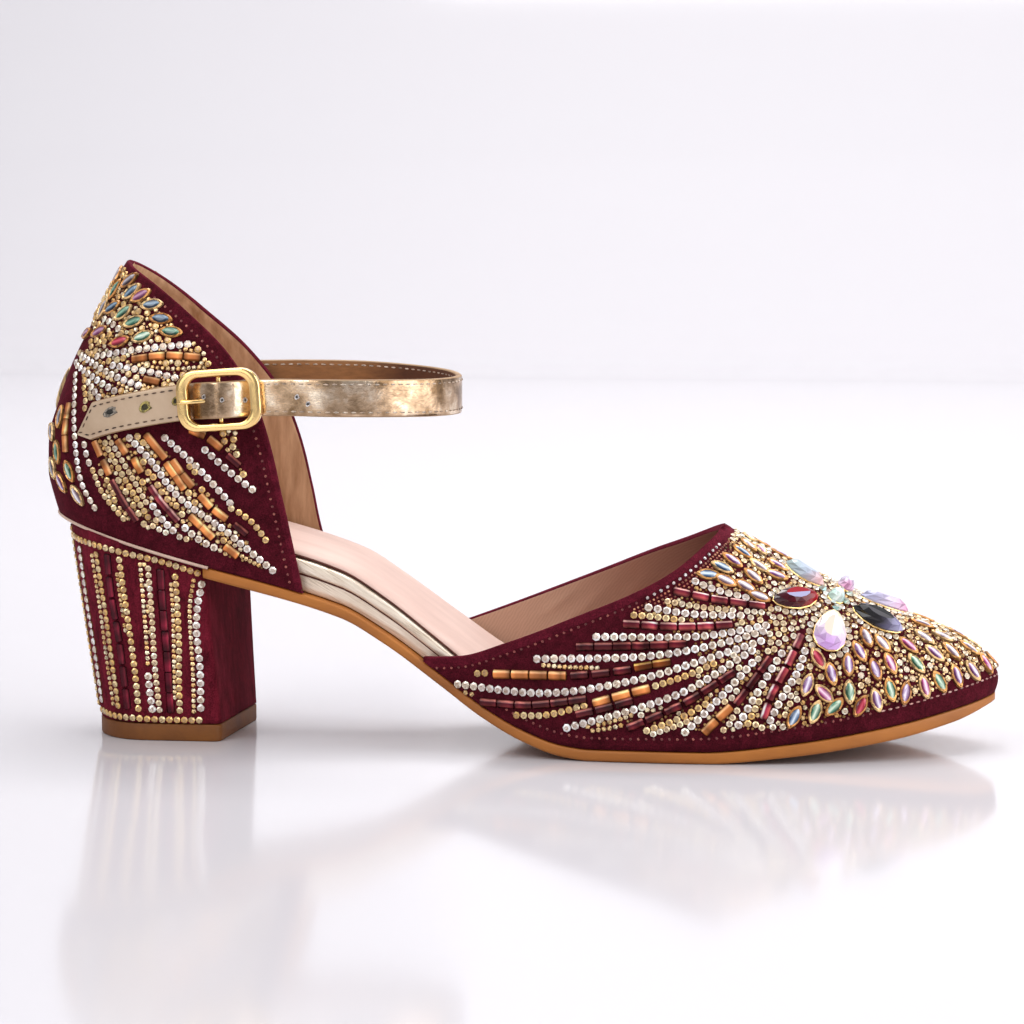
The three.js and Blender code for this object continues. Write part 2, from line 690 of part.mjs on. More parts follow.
// A ring about the centre bar
function eyeGeometry(outer, width) {
  const shape = new THREE.Shape().absarc(0, 0, outer, 0, Math.PI * 2, false);
  shape.holes.push(new THREE.Path().absarc(0, 0, TAB.bore, 0, Math.PI * 2, true));
  const sweep = { depth: width, bevelEnabled: false, curveSegments: ARC_STEPS.eye };
  const ring = new THREE.ExtrudeGeometry(shape, sweep);
  return ring.translate(0, 0, -width / 2).rotateX(-Math.PI / 2).translate(0, 0, BAR.level);
}

function buckleTabGeometry() {
  const profile = new THREE.Shape([
    new THREE.Vector2(-TAB.reach, TAB.low),
    new THREE.Vector2(TAB_BEND.under, TAB.low),
    new THREE.Vector2(TAB_BEND.outside, BAR.level - TAB_BEND.wrap),
    new THREE.Vector2(TAB_BEND.inside, BAR.level - TAB_BEND.dip),
    new THREE.Vector2(TAB_BEND.over, TAB.high),
    new THREE.Vector2(-TAB.reach, TAB.high),
  ]);
  const strip = new THREE.ExtrudeGeometry(profile, { depth: TAB.width, bevelEnabled: false });
  strip.rotateX(Math.PI / 2).translate(0, TAB.width / 2, 0);
  const { length, width, height, shift } = TAB_SLOT;
  const slot = new THREE.BoxGeometry(length, width, height).translate(shift, 0, BAR.level);
  const whole = solid(strip).add(solid(eyeGeometry(TAB.eye, TAB.width)));
  return geometryOf(whole.subtract(solid(slot)));
}

function buckleProngGeometry() {
  return geometryOf(solid(eyeGeometry(PRONG.eye, PRONG.width)).add(solid(prongTube(PRONG.radius))));
}

// A cut stone: a girdle, a bevelled crown and a flat table
function stoneGeometry({ length, width, kind }) {
  const outline = Array.from({ length: STONE_SIDES }, (_, i) => {
    const angle = (i / STONE_SIDES) * Math.PI * 2;
    const [c, s] = [Math.cos(angle), Math.sin(angle)];
    const pinch = { round: 1, navette: Math.abs(s) ** NAVETTE_PINCH, pear: 1 - PEAR_TAPER * c }[kind];
    return [(length / 2) * c, (width / 2) * s * pinch];
  });
  const ring = (scale, z) => outline.map(([x, y]) => new THREE.Vector3(x * scale, y * scale, z));
  const rings = STONE_PROFILE.map(({ share, level }) => ring(share, level * STONE_HEIGHT));
  return loft(rings, { start: true, end: true });
}

// Finishes
const finish = (colour, roughness, metalness) => {
  return new THREE.MeshStandardMaterial({ color: colour, roughness, metalness });
};
const velvet = finish(0x4a1020, 0.9, 0);
const leatherSole = finish(0xa5642c, 0.55, 0);
const goldLeather = finish(0xc8a878, 0.45, 0.4);
const pinkLeather = finish(0xf0d8cc, 0.6, 0);
const goldMetal = finish(0xe0b24a, 0.2, 1);

const shoe = new THREE.Group();
function piece(name, geometry, material) {
  const mesh = new THREE.Mesh(geometry, material);
  mesh.name = name;
  shoe.add(mesh);
  return mesh;
}

piece('outsole', outsoleGeometry(), leatherSole);
piece('heel_block', heelGeometry(), velvet);
piece('top_lift', liftGeometry(), leatherSole);
piece('insole_board', insoleGeometry(), goldLeather);
piece('sock', sockGeometry(), pinkLeather);
piece('vamp', vampGeometry(), velvet);
piece('quarter', quarterGeometry(), velvet);
piece('ankle_strap', strapGeometry(), goldLeather);

for (const [name, geometry, material] of [
  ['buckle_frame', buckleFrameGeometry(), goldMetal],
  ['buckle_prong', buckleProngGeometry(), goldMetal],
  ['buckle_tab', buckleTabGeometry(), goldLeather],
]) {
  piece(name, geometry, material).applyMatrix4(buckleMatrix);
}

// Each stone sits on the vamp, its axis along the surface's normal
function setStone(name, stone) {
  const side = stone.y < 0 ? 'lateral' : 'medial';
  const share = Math.abs(stone.y) / halfWidth(stone.x, side, 0);
  const angle = Math.acos(share ** (1 / SIDE_FULLNESS));
  const normal = vampNormal(stone.x, angle, side);
  const toToe = new THREE.Vector3(1, 0, 0).addScaledVector(normal, -normal.x).normalize();
  const across = normal.clone().cross(toToe);
  const mesh = piece(name, stoneGeometry(stone), finish(stone.colour, 0.05, 0.1));
  const basis = new THREE.Matrix4().makeBasis(toToe, across, normal);
  mesh.quaternion.setFromRotationMatrix(basis);
  mesh.rotateZ(THREE.MathUtils.degToRad(stone.turn));
  mesh.position.copy(vampPoint(stone.x, angle, side)).addScaledVector(normal, STONE_LIFT);
}
STONES.forEach((stone, i) => setStone(`flower_stone_${i + 1}`, stone));
setStone('flower_centre', STONE_CENTRE);

// The part's origin is the middle of its footprint
const box = new THREE.Box3().setFromObject(shoe, true);
const middle = box.getCenter(new THREE.Vector3());
shoe.position.set(-middle.x, -middle.y, -box.min.z);

export default shoe;
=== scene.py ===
"""Embellished block-heel shoe for the right foot: velvet vamp and counter with rows of strass,
bugle beads and cut stones, a gold-wrapped insole, a block heel and a buckled ankle strap.
Tables are in millimetres, with X from heel to toe, Y to the medial side and Z up."""

import math

import bmesh
import bpy
import numpy as np
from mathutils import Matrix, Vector
from mathutils.bvhtree import BVHTree
from mathutils.kdtree import KDTree


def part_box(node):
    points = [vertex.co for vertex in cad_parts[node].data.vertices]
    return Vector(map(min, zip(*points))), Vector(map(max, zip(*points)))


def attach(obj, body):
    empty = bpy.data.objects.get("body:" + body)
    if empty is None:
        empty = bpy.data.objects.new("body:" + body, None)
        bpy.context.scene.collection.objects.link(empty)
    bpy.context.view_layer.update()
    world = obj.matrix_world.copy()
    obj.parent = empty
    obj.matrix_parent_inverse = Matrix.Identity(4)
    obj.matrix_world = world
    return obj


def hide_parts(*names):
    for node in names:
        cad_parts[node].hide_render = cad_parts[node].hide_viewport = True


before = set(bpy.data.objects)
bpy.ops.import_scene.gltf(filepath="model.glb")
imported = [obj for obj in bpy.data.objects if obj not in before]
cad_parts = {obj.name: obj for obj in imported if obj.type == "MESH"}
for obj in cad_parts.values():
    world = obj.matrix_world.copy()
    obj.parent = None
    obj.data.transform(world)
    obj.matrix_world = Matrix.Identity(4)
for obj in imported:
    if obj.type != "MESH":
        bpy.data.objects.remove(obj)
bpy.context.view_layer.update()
rng = np.random.default_rng(7)


def table(columns, *rows):
    """Named columns as arrays."""
    return dict(zip(columns.split(), np.array(rows, float).T))


# Driving dimensions of the last
TOE_X = 251.5
BALL_X = 170
THROAT_X = 181
THROAT_FOOT_X = 174
VAMP_REAR_X = 106
SEAT_REAR_X = 4.5
SEAT_CENTRE_X = 37.5
SEAT_HALF = 25.5
WALL = 1.8
FIT = 0.3
SOLE_THICKNESS = 3
SOLE_REAR_X = 49.4
SOLE_SKEW_REACH = 25
LIFT_HEIGHT = 4.5
LIFT_HALF = 19.6
STRAP_SEWN = 10.4
STRAP_FREE = 9.2
STRAP_THICKNESS = 1.6
TOE_FULLNESS = 0.56
TOE_POWER = {"lateral": 2, "medial": 2.2}
SIDE_FULLNESS = 0.88
NOSE_X = 215
NOSE_REACH = 9
NOSE_POWER = 12
INSOLE_INSET = WALL + FIT + 0.4
SOCK_INSET = INSOLE_INSET + 1.4
SOCK_EDGE = 1.2
SOCK_CROWN = 2.6
SIGN = {"lateral": -1, "medial": 1}
COUNTER_TAPER = {"lateral": 0.01, "medial": 0.09}
INSOLE_NARROW = 0.97
HEEL_CORNER = 2
BREAST_SKEW = 0.055

FEATHER = table("x z", (0, 59.7), (42, 48.3), (84, 36.8), (95, 30.6), (110, 20.4), (121, 12.9), (132, 7.2),
                (143, 3.7), (150, 3), (178, 3), (200, 5), (227, 9.1), (243, 12.5), (TOE_X, 14.4))
SOLE = table("x thickness", (178, SOLE_THICKNESS), (226, 3.6), (241, 3.3), (TOE_X, 1.8))
PLAN = table("x lateral medial", (37.5, 25.5, 25.5), (60, 26.2, 25), (80, 25.8, 22.8), (95, 26, 21.5),
             (110, 28.4, 22.6), (125, 32.4, 26.4), (140, 36, 31.4), (155, 38, 35.6), (BALL_X, 38.5, 37.5))
RIDGE = table("x rise", (100, 92), (130, 82), (150, 71), (170, 60), (182, 52.6), (200, 41.4), (211, 34.8),
              (221, 29.2), (232, 25.4), (TOE_X, 22))
TOPLINE = table("x lateral medial", (106, 24.2, 26.4), (115, 24.8, 29.6), (127, 28.6, 34), (147, 36.6, 41.8),
                (160, 42, 47.2), (170, 47.4, 51.2))
COUNTER = table("z back half depth", (38, 12, 26.6, 33), (55, 5.4, 26.2, 33), (62, 3, 26.7, 33),
                (70, 1.3, 27.2, 32.5), (78, 1.5, 27.1, 31.5), (88, 4.3, 26.6, 30.5), (98, 8, 23.6, 27.5),
                (108, 13, 20, 24), (117, 17.8, 16.2, 20), (125, 22.8, 12.5, 16))
COLLAR = table("z lateral medial", (41, 74, 73), (53, 71.2, 69.8), (64, 68.9, 67.4), (78, 65.8, 63.8),
               (90.5, 61.4, 58.4), (101.5, 54.2, 50.2), (111, 44, 40), (119.3, 33, 30.4), (125, 22.8, 22.8))
INSOLE = table("x height", (0, 7.5), (45, 8.4), (75, 8.4), (105, 7.2), (125, 6), (150, 4), (TOE_X, 3.2))
HEEL = table("v back front half depth", (0, 15, 51.9, LIFT_HALF, 16), (0.5, 11.2, 50.3, 21.6, 18),
             (1, 7.4, 48.8, 24.4, 21))

# Middle of the ankle strap, from its sewn end on the medial quarter to its free end
STRAP = table("x y z", (36, 27.8, 92), (50, 26.9, 92.2), (64, 28.2, 92.4), (80, 29.6, 92.2), (95, 24.6, 91.6),
              (106.5, 13, 91), (111, 0, 90.4), (107, -13.6, 90.4), (96, -24.6, 90.8), (82, -29.4, 91),
              (72, -29.2, 91.1), (66.5, -28.9, 91), (62, -29, 90.9), (57.4, -32.3, 90.7), (53.9, -33.6, 90.5),
              (50.4, -32.3, 90.3), (46, -29, 89.8), (42.5, -28.9, 89.4), (34, -28.9, 88), (24, -27.2, 85.8),
              (14.6, -23.3, 82.8))

# The camera that took the photograph, and the photograph's frame
VIEW_AZIMUTH = math.radians(7.6)
VIEW_ELEVATION = math.radians(5.7)
VIEW_DISTANCE = 950
VIEW_TARGET = np.array([125.2, 0, 59.5])
VIEW_SCALE = 3.81
PHOTO_SIDE = 1024
SENSOR = 36

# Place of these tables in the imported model's frame
shift = np.array([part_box("outsole")[1].x * 1000 - TOE_X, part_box("top_lift")[1].y * 1000 - LIFT_HALF, 0])


def to_frame(points):
    """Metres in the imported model's frame, from millimetres in the tables' frame."""
    return (np.asarray(points, float) + shift) / 1000


# Curves and surfaces of the last

def curve(rows, key, column):
    """Smooth curve through a table that never overshoots its rows."""
    at, value = rows[key], rows[column]
    slope = np.diff(value) / np.diff(at)
    before = np.append(slope[:1], slope)
    after = np.append(slope, slope[-1:])
    same = before * after > 0
    tangent = np.where(same, 2 * before * after / np.where(same, before + after, 1), 0)

    def read(where):
        where = np.asarray(where, float)
        i = np.clip(np.searchsorted(at, where) - 1, 0, len(at) - 2)
        span = at[i + 1] - at[i]
        t = np.clip((where - at[i]) / span, 0, 1)
        rise = t * t * (3 - 2 * t)
        bend = t * (1 - t) ** 2 * tangent[i] + t * t * (t - 1) * tangent[i + 1]
        return value[i] + (value[i + 1] - value[i]) * rise + span * bend
    return read


feather = curve(FEATHER, "x", "z")
sole_thickness = curve(SOLE, "x", "thickness")
ridge_rise = curve(RIDGE, "x", "rise")
insole_height = curve(INSOLE, "x", "height")
plan_half = {side: curve(PLAN, "x", side) for side in SIGN}
counter_back, counter_half, counter_depth = (curve(COUNTER, "z", name) for name in ("back", "half", "depth"))


def half_width(x, side, inset=0):
    x = np.asarray(x, float)
    seat = np.clip((SEAT_CENTRE_X - x) / (SEAT_CENTRE_X - SEAT_REAR_X - inset), 0, 1)
    toe = np.clip((x - BALL_X) / (TOE_X - inset - BALL_X), 0, 1)
    waist = plan_half[side](np.clip(x, SEAT_CENTRE_X, BALL_X)) - inset
    return waist * np.sqrt(1 - seat ** 2) * (1 - toe ** TOE_POWER[side]) ** TOE_FULLNESS


def nose_share(x):
    return np.clip((x - NOSE_X) / (TOE_X - NOSE_X), 0, 1)


def vamp_rise(x):
    return ridge_rise(x) * np.sqrt(1 - nose_share(x) ** 2)


def vamp_point(x, angle, side):
    """Outside of the vamp: angle 0 at the feather line and a quarter turn at the ridge."""
    across = np.maximum(np.cos(angle), 0) ** SIDE_FULLNESS
    y = SIGN[side] * half_width(x, side) * across
    nose = nose_share(x)
    swell = NOSE_REACH * np.sqrt(1 - nose ** 2) * nose ** NOSE_POWER
    lift = np.sin(angle)
    return np.stack([x + swell * lift, y, feather(x) + FIT + vamp_rise(x) * lift], -1)


def unit(vectors):
    length = np.linalg.norm(vectors, axis=-1, keepdims=True)
    return vectors / np.maximum(length, 1e-9)


def vamp_normal(x, angle, side, step=0.02):
    x = np.minimum(x, TOE_X - 2 * step)
    high = np.minimum(angle, math.pi / 2 - step)
    along = vamp_point(x + step, high, side) - vamp_point(x - step, high, side)
    up = vamp_point(x, high + step, side) - vamp_point(x, np.maximum(high - step, 0), side)
    normal = np.cross(up, along) * SIGN[side]
    normal[..., 1] = np.where(high < angle, 0, normal[..., 1])
    return unit(normal)


throat_height = float(feather(THROAT_X) + FIT + vamp_rise(THROAT_X))
topline_rows = {
    "x": np.append(TOPLINE["x"], THROAT_X),
    "lateral": np.append(TOPLINE["lateral"], throat_height),
    "medial": np.append(TOPLINE["medial"], throat_height),
}
topline = {side: curve(topline_rows, "x", side) for side in SIGN}


def topline_angle(x, side):
    share = (topline[side](x) - feather(x) - FIT) / vamp_rise(x)
    return np.where(x >= THROAT_X, math.pi / 2, np.arcsin(np.clip(share, 0, 1)))


def counter_point(turn, z, side):
    """Outside of the counter: turn 0 at the middle of the back, 1 where the sides run straight."""
    angle = np.minimum(turn, 1) * math.pi / 2
    straight = np.maximum(turn - 1, 0) * math.pi / 2 * counter_depth(z)
    x = counter_back(z) + counter_depth(z) * (1 - np.cos(angle)) + straight
    half = counter_half(z) * np.sin(angle) - COUNTER_TAPER[side] * straight
    return np.stack([x, SIGN[side] * half, z], -1)


def counter_turn(x, z):
    reach = (x - counter_back(z)) / counter_depth(z)
    bend = np.arccos(1 - np.clip(reach, 0, 1)) / (math.pi / 2)
    return np.where(reach > 1, 1 + (reach - 1) / (math.pi / 2), bend)


def counter_normal(turn, z, side, step=0.01):
    along = counter_point(turn + step, z, side) - counter_point(np.maximum(turn - step, 0), z, side)
    up = counter_point(turn, z + step, side) - counter_point(turn, z - step, side)
    normal = np.cross(up, along) * SIGN[side]
    normal[..., 1] = np.where(turn < 1e-6, 0, normal[..., 1])
    return unit(normal)


def blend(first, second, share):
    return first + (second - first) * share


def evenly_read(path, count, *values):
    """Values that belong to the points of a polyline, at equal steps along it."""
    length = np.append(0, np.cumsum(np.linalg.norm(np.diff(path, axis=0), axis=1)))
    want = np.linspace(0, length[-1], count)
    return np.stack([np.interp(want, length, value) for value in values], -1)


def evenly(path, count):
    """A polyline sampled again at equal steps."""
    return evenly_read(path, count, *path.T)


def spline(points, count):
    """Points evenly spaced along a centripetal curve through the given ones."""
    points = np.asarray(points, float)
    ends = np.vstack([2 * points[0] - points[1], points, 2 * points[-1] - points[-2]])
    knots = np.append(0, np.cumsum(np.linalg.norm(np.diff(ends, axis=0), axis=1) ** 0.5))
    fine = []
    for i in range(1, len(ends) - 2):
        t0, t1, t2, t3 = knots[i - 1:i + 3]
        p0, p1, p2, p3 = ends[i - 1:i + 3]
        t = np.linspace(t1, t2, 40)[:, None]
        a1 = blend(p0, p1, (t - t0) / (t1 - t0))
        a2 = blend(p1, p2, (t - t1) / (t2 - t1))
        a3 = blend(p2, p3, (t - t2) / (t3 - t2))
        b1 = blend(a1, a2, (t - t0) / (t2 - t0))
        b2 = blend(a2, a3, (t - t1) / (t3 - t1))
        fine.append(blend(b1, b2, (t - t1) / (t2 - t1)))
    return evenly(np.vstack(fine), count)


# Materials: tilt of the insole's streaks, stretch of the lining's pleats, and where along the shoe the
# painted shade that darkens the vamp lining and the strap's inside runs
STRIP_TILT = 31
LINING_PLEATS = (1, 1, -1.4)
LINING_SHADE_SPAN = 56
SUEDE_SHADE_START = -48
SUEDE_SHADE_SPAN = 34


def material(name, colour, roughness, metallic=0.0, **sockets):
    """A principled material, with the values that are the same all over set on the shader."""
    made = bpy.data.materials.new(name)
    made.use_nodes = True
    shader = made.node_tree.nodes["Principled BSDF"]
    shader.inputs["Base Color"].default_value = (*colour, 1)
    shader.inputs["Roughness"].default_value = roughness
    shader.inputs["Metallic"].default_value = metallic
    for socket, value in sockets.items():
        shader.inputs[socket.replace("_", " ")].default_value = value
    return made


def texture(made, kind, scale, stretch=(1, 1, 1), start=0, tilt=0, **values):
    """A procedural texture in millimetres, from a start along the shoe.
    Stretch draws it out along axes that the tilt turns down towards the toe."""
    nodes, links = made.node_tree.nodes, made.node_tree.links
    coordinates = nodes.new("ShaderNodeTexCoord")
    mapping = nodes.new("ShaderNodeMapping")
    mapping.vector_type = "TEXTURE"
    mapping.inputs["Scale"].default_value = [scale * s / 1000 for s in stretch]
    mapping.inputs["Location"].default_value = (start / 1000, 0, 0)
    mapping.inputs["Rotation"].default_value = (0, math.radians(tilt), 0)
    node = nodes.new("ShaderNodeTex" + kind)
    if "Scale" in node.inputs:
        node.inputs["Scale"].default_value = 1
    for socket, value in values.items():
        node.inputs[socket].default_value = value
    links.new(coordinates.outputs["Object"], mapping.inputs["Vector"])
    links.new(mapping.outputs["Vector"], node.inputs["Vector"])
    return node.outputs["Fac"] if "Fac" in node.outputs else node.outputs["Distance"]


def ramp(made, value, *stops):
    """Colours along a value: (place, colour) stops."""
    node = made.node_tree.nodes.new("ShaderNodeValToRGB")
    elements = node.color_ramp.elements
    while len(elements) < len(stops):
        elements.new(0.5)
    for element, (place, colour) in zip(elements, stops):
        element.position = place
        element.color = (*colour, 1)
    made.node_tree.links.new(value, node.inputs["Fac"])
    return node.outputs["Color"]


def multiplied(made, first, second, share):
    """A colour multiplied by a share of another."""
    node = made.node_tree.nodes.new("ShaderNodeMix")
    node.data_type = "RGBA"
    node.blend_type = "MULTIPLY"
    node.inputs["Factor"].default_value = share
    made.node_tree.links.new(first, node.inputs[6])
    made.node_tree.links.new(second, node.inputs[7])
    return node.outputs[2]


def paint(made, socket, value):
    made.node_tree.links.new(value, made.node_tree.nodes["Principled BSDF"].inputs[socket])


def bump(made, *layers):
    """Relief from (height, strength, depth in millimetres) layers."""
    nodes, links = made.node_tree.nodes, made.node_tree.links
    last = None
    for height, strength, depth in layers:
        node = nodes.new("ShaderNodeBump")
        node.inputs["Strength"].default_value = strength
        node.inputs["Distance"].default_value = depth / 1000
        links.new(height, node.inputs["Height"])
        if last:
            links.new(last, node.inputs["Normal"])
        last = node.outputs["Normal"]
    paint(made, "Normal", last)


def span(made, value, low, high):
    """A value spread from low to high."""
    node = made.node_tree.nodes.new("ShaderNodeMapRange")
    node.inputs["To Min"].default_value = low
    node.inputs["To Max"].default_value = high
    made.node_tree.links.new(value, node.inputs["Value"])
    return node.outputs["Result"]


def velvet_material(name, dark, light, nap_stretch):
    made = material(name, dark, 0.9, Sheen_Weight=0.12, Sheen_Roughness=0.45, Specular_IOR_Level=0.06,
                    Sheen_Tint=(0.55, 0.05, 0.1, 1))
    nap = texture(made, "Noise", 3, nap_stretch, Detail=6, Roughness=0.75, Distortion=0.4)
    pile = texture(made, "Noise", 0.32, Detail=3, Roughness=0.7)
    cloth = ramp(made, nap, (0.34, dark), (0.7, light))
    speck = ramp(made, pile, (0.32, (0.4, 0.36, 0.38)), (0.68, (1.6, 1.55, 1.56)))
    paint(made, "Base Color", multiplied(made, cloth, speck, 0.85))
    bump(made, (pile, 0.5, 0.12), (nap, 0.2, 0.25))
    return made


def leather_material(name, dark, light, roughness, grain, stretch=(1, 1, 1), metallic=0.0):
    made = material(name, light, roughness, metallic)
    cloud = texture(made, "Noise", 14, stretch, Detail=4, Roughness=0.6)
    pores = texture(made, "Voronoi", grain, stretch)
    paint(made, "Base Color", ramp(made, cloud, (0.3, dark), (0.65, light)))
    paint(made, "Roughness", span(made, cloud, roughness - 0.08, roughness + 0.1))
    bump(made, (pores, 0.3, 0.1), (cloud, 0.15, 0.4))
    return made


def foil_material():
    """Crinkled metallic leather."""
    made = material("foil_leather", (0.5, 0.33, 0.2), 0.2, 0.92)
    crinkle = texture(made, "Noise", 1.7, (1.4, 1, 0.8), Detail=6, Roughness=0.65, Distortion=0.6)
    cloud = texture(made, "Noise", 9, Detail=5, Roughness=0.6)
    paint(made, "Base Color", ramp(made, cloud, (0.38, (0.24, 0.145, 0.075)), (0.51, (0.6, 0.42, 0.27)),
                                   (0.64, (0.92, 0.77, 0.6))))
    paint(made, "Roughness", span(made, crinkle, 0.1, 0.32))
    bump(made, (crinkle, 0.35, 0.25), (cloud, 0.25, 0.8))
    return made


def brushed_material():
    """Gold leather of the insole's edge, brushed along the foot."""
    made = material("insole_gold", (0.8, 0.68, 0.54), 0.3, 0.35)
    streaks = texture(made, "Noise", 0.8, (12, 12, 0.6), tilt=STRIP_TILT, Detail=5, Roughness=0.7)
    cloud = texture(made, "Noise", 7, (3, 3, 1), tilt=STRIP_TILT, Detail=4, Roughness=0.6)
    brushed = ramp(made, streaks, (0.32, (0.5, 0.39, 0.28)), (0.46, (0.82, 0.69, 0.56)),
                   (0.7, (0.97, 0.87, 0.74)))
    worn = ramp(made, cloud, (0.3, (0.84, 0.82, 0.78)), (0.6, (1.0, 1.0, 1.0)))
    paint(made, "Base Color", multiplied(made, brushed, worn, 0.8))
    paint(made, "Roughness", span(made, streaks, 0.2, 0.42))
    bump(made, (streaks, 0.25, 0.1))
    return made


def lining_material():
    """Thin pleated leather with painted shade that darkens it towards the throat, and painted shade in its
    pleats' troughs.
    """
    made = material("vamp_lining", (0.5, 0.33, 0.25), 0.62)
    # Painted shade: a gradient that darkens the lining towards the throat, where little light reaches
    depth = texture(made, "Gradient", LINING_SHADE_SPAN)
    pleats = texture(made, "Wave", 1.8, LINING_PLEATS, Distortion=5, Detail=4)
    pleats.node.bands_direction = "DIAGONAL"
    painted_shade = ramp(made, depth, (0.1, (0.54, 0.32, 0.22)), (0.5, (0.36, 0.17, 0.11)),
                 (1.0, (0.12, 0.035, 0.022)))
    # Painted shade in the pleats' troughs and painted light on their crests
    folds = ramp(made, pleats, (0.15, (0.9, 0.88, 0.87)), (0.75, (1.04, 1.04, 1.04)))
    paint(made, "Base Color", multiplied(made, painted_shade, folds, 0.7))
    bump(made, (pleats, 0.2, 0.1))
    return made


def suede_material():
    """The strap's inside, with painted shade that darkens it towards the front."""
    made = material("strap_suede", (0.2, 0.07, 0.02), 0.8)
    # Painted shade: a gradient that darkens the strap's inside towards the front, where less light reaches it
    depth = texture(made, "Gradient", SUEDE_SHADE_SPAN, start=SUEDE_SHADE_START)
    fibre = texture(made, "Noise", 1.2, (4, 4, 1), Detail=4, Roughness=0.7)
    painted_shade = ramp(made, depth, (0.0, (0.25, 0.105, 0.032)), (0.4, (0.08, 0.022, 0.005)),
                 (1.0, (0.09, 0.026, 0.006)))
    nap = ramp(made, fibre, (0.35, (0.7, 0.66, 0.62)), (0.65, (1.2, 1.2, 1.2)))
    paint(made, "Base Color", multiplied(made, painted_shade, nap, 0.7))
    bump(made, (fibre, 0.3, 0.12))
    return made


velvet = velvet_material("velvet", (0.036, 0.003, 0.0062), (0.088, 0.0072, 0.0155), (1, 1, 1))
heel_velvet = velvet_material("heel_velvet", (0.05, 0.0042, 0.0085), (0.2, 0.0155, 0.032), (1.2, 1.2, 3.2))
# The binding's velvet is painted lighter than the vamp's: a painted sheen where the nap rolls over the edge
binding_sheen = velvet_material("binding_sheen", (0.056, 0.0046, 0.0102), (0.12, 0.01, 0.0225), (1, 1, 1))
vamp_lining = lining_material()
quarter_lining = leather_material("quarter_lining", (0.36, 0.18, 0.08), (0.62, 0.38, 0.22), 0.8, 0.5,
                                  (0.2, 0.2, 1.2))
strap_suede = suede_material()
tail_leather = leather_material("tail_leather", (0.49, 0.345, 0.225), (0.62, 0.465, 0.325), 0.5, 0.8,
                                metallic=0.25)
strap_edge = leather_material("strap_edge", (0.24, 0.13, 0.06), (0.4, 0.25, 0.13), 0.6, 0.5)
sole_leather = leather_material("sole_leather", (0.27, 0.08, 0.008), (0.43, 0.145, 0.018), 0.55, 1.2,
                                (3, 3, 1))
lift_leather = leather_material("lift_leather", (0.13, 0.036, 0.002), (0.22, 0.07, 0.005), 0.6, 1.0)
sock_leather = leather_material("sock_leather", (0.58, 0.39, 0.33), (0.68, 0.48, 0.41), 0.6, 0.8, (9, 0.5, 1))
rand_leather = leather_material("rand_leather", (0.5, 0.33, 0.25), (0.66, 0.48, 0.38), 0.5, 0.8)
# Dark leather for the sock's lower edge, partly painted shade between sock and insole, and for painted shade
# in the insole's groove
dark_edge_and_groove_shade = leather_material("dark_edge_and_groove_shade", (0.07, 0.015, 0.01), (0.15, 0.04, 0.028), 0.7, 0.6)
insole_gold = brushed_material()
foil = foil_material()
gold_metal = material("gold_metal", (0.97, 0.67, 0.28), 0.14, 1.0)
scuff = texture(gold_metal, "Noise", 1.6, Detail=4)
paint(gold_metal, "Roughness", span(gold_metal, scuff, 0.08, 0.24))


# Meshes

def quads_of(grid, first=0, closed=False):
    """Corner numbers of the quads of a grid of points, whose rows may close to rings."""
    rows, columns = grid.shape[:2]
    index = np.arange(rows * columns).reshape(rows, columns) + first
    if closed:
        index = np.hstack([index, index[:, :1]])
    return np.stack([index[:-1, :-1], index[1:, :-1], index[1:, 1:], index[:-1, 1:]], -1)


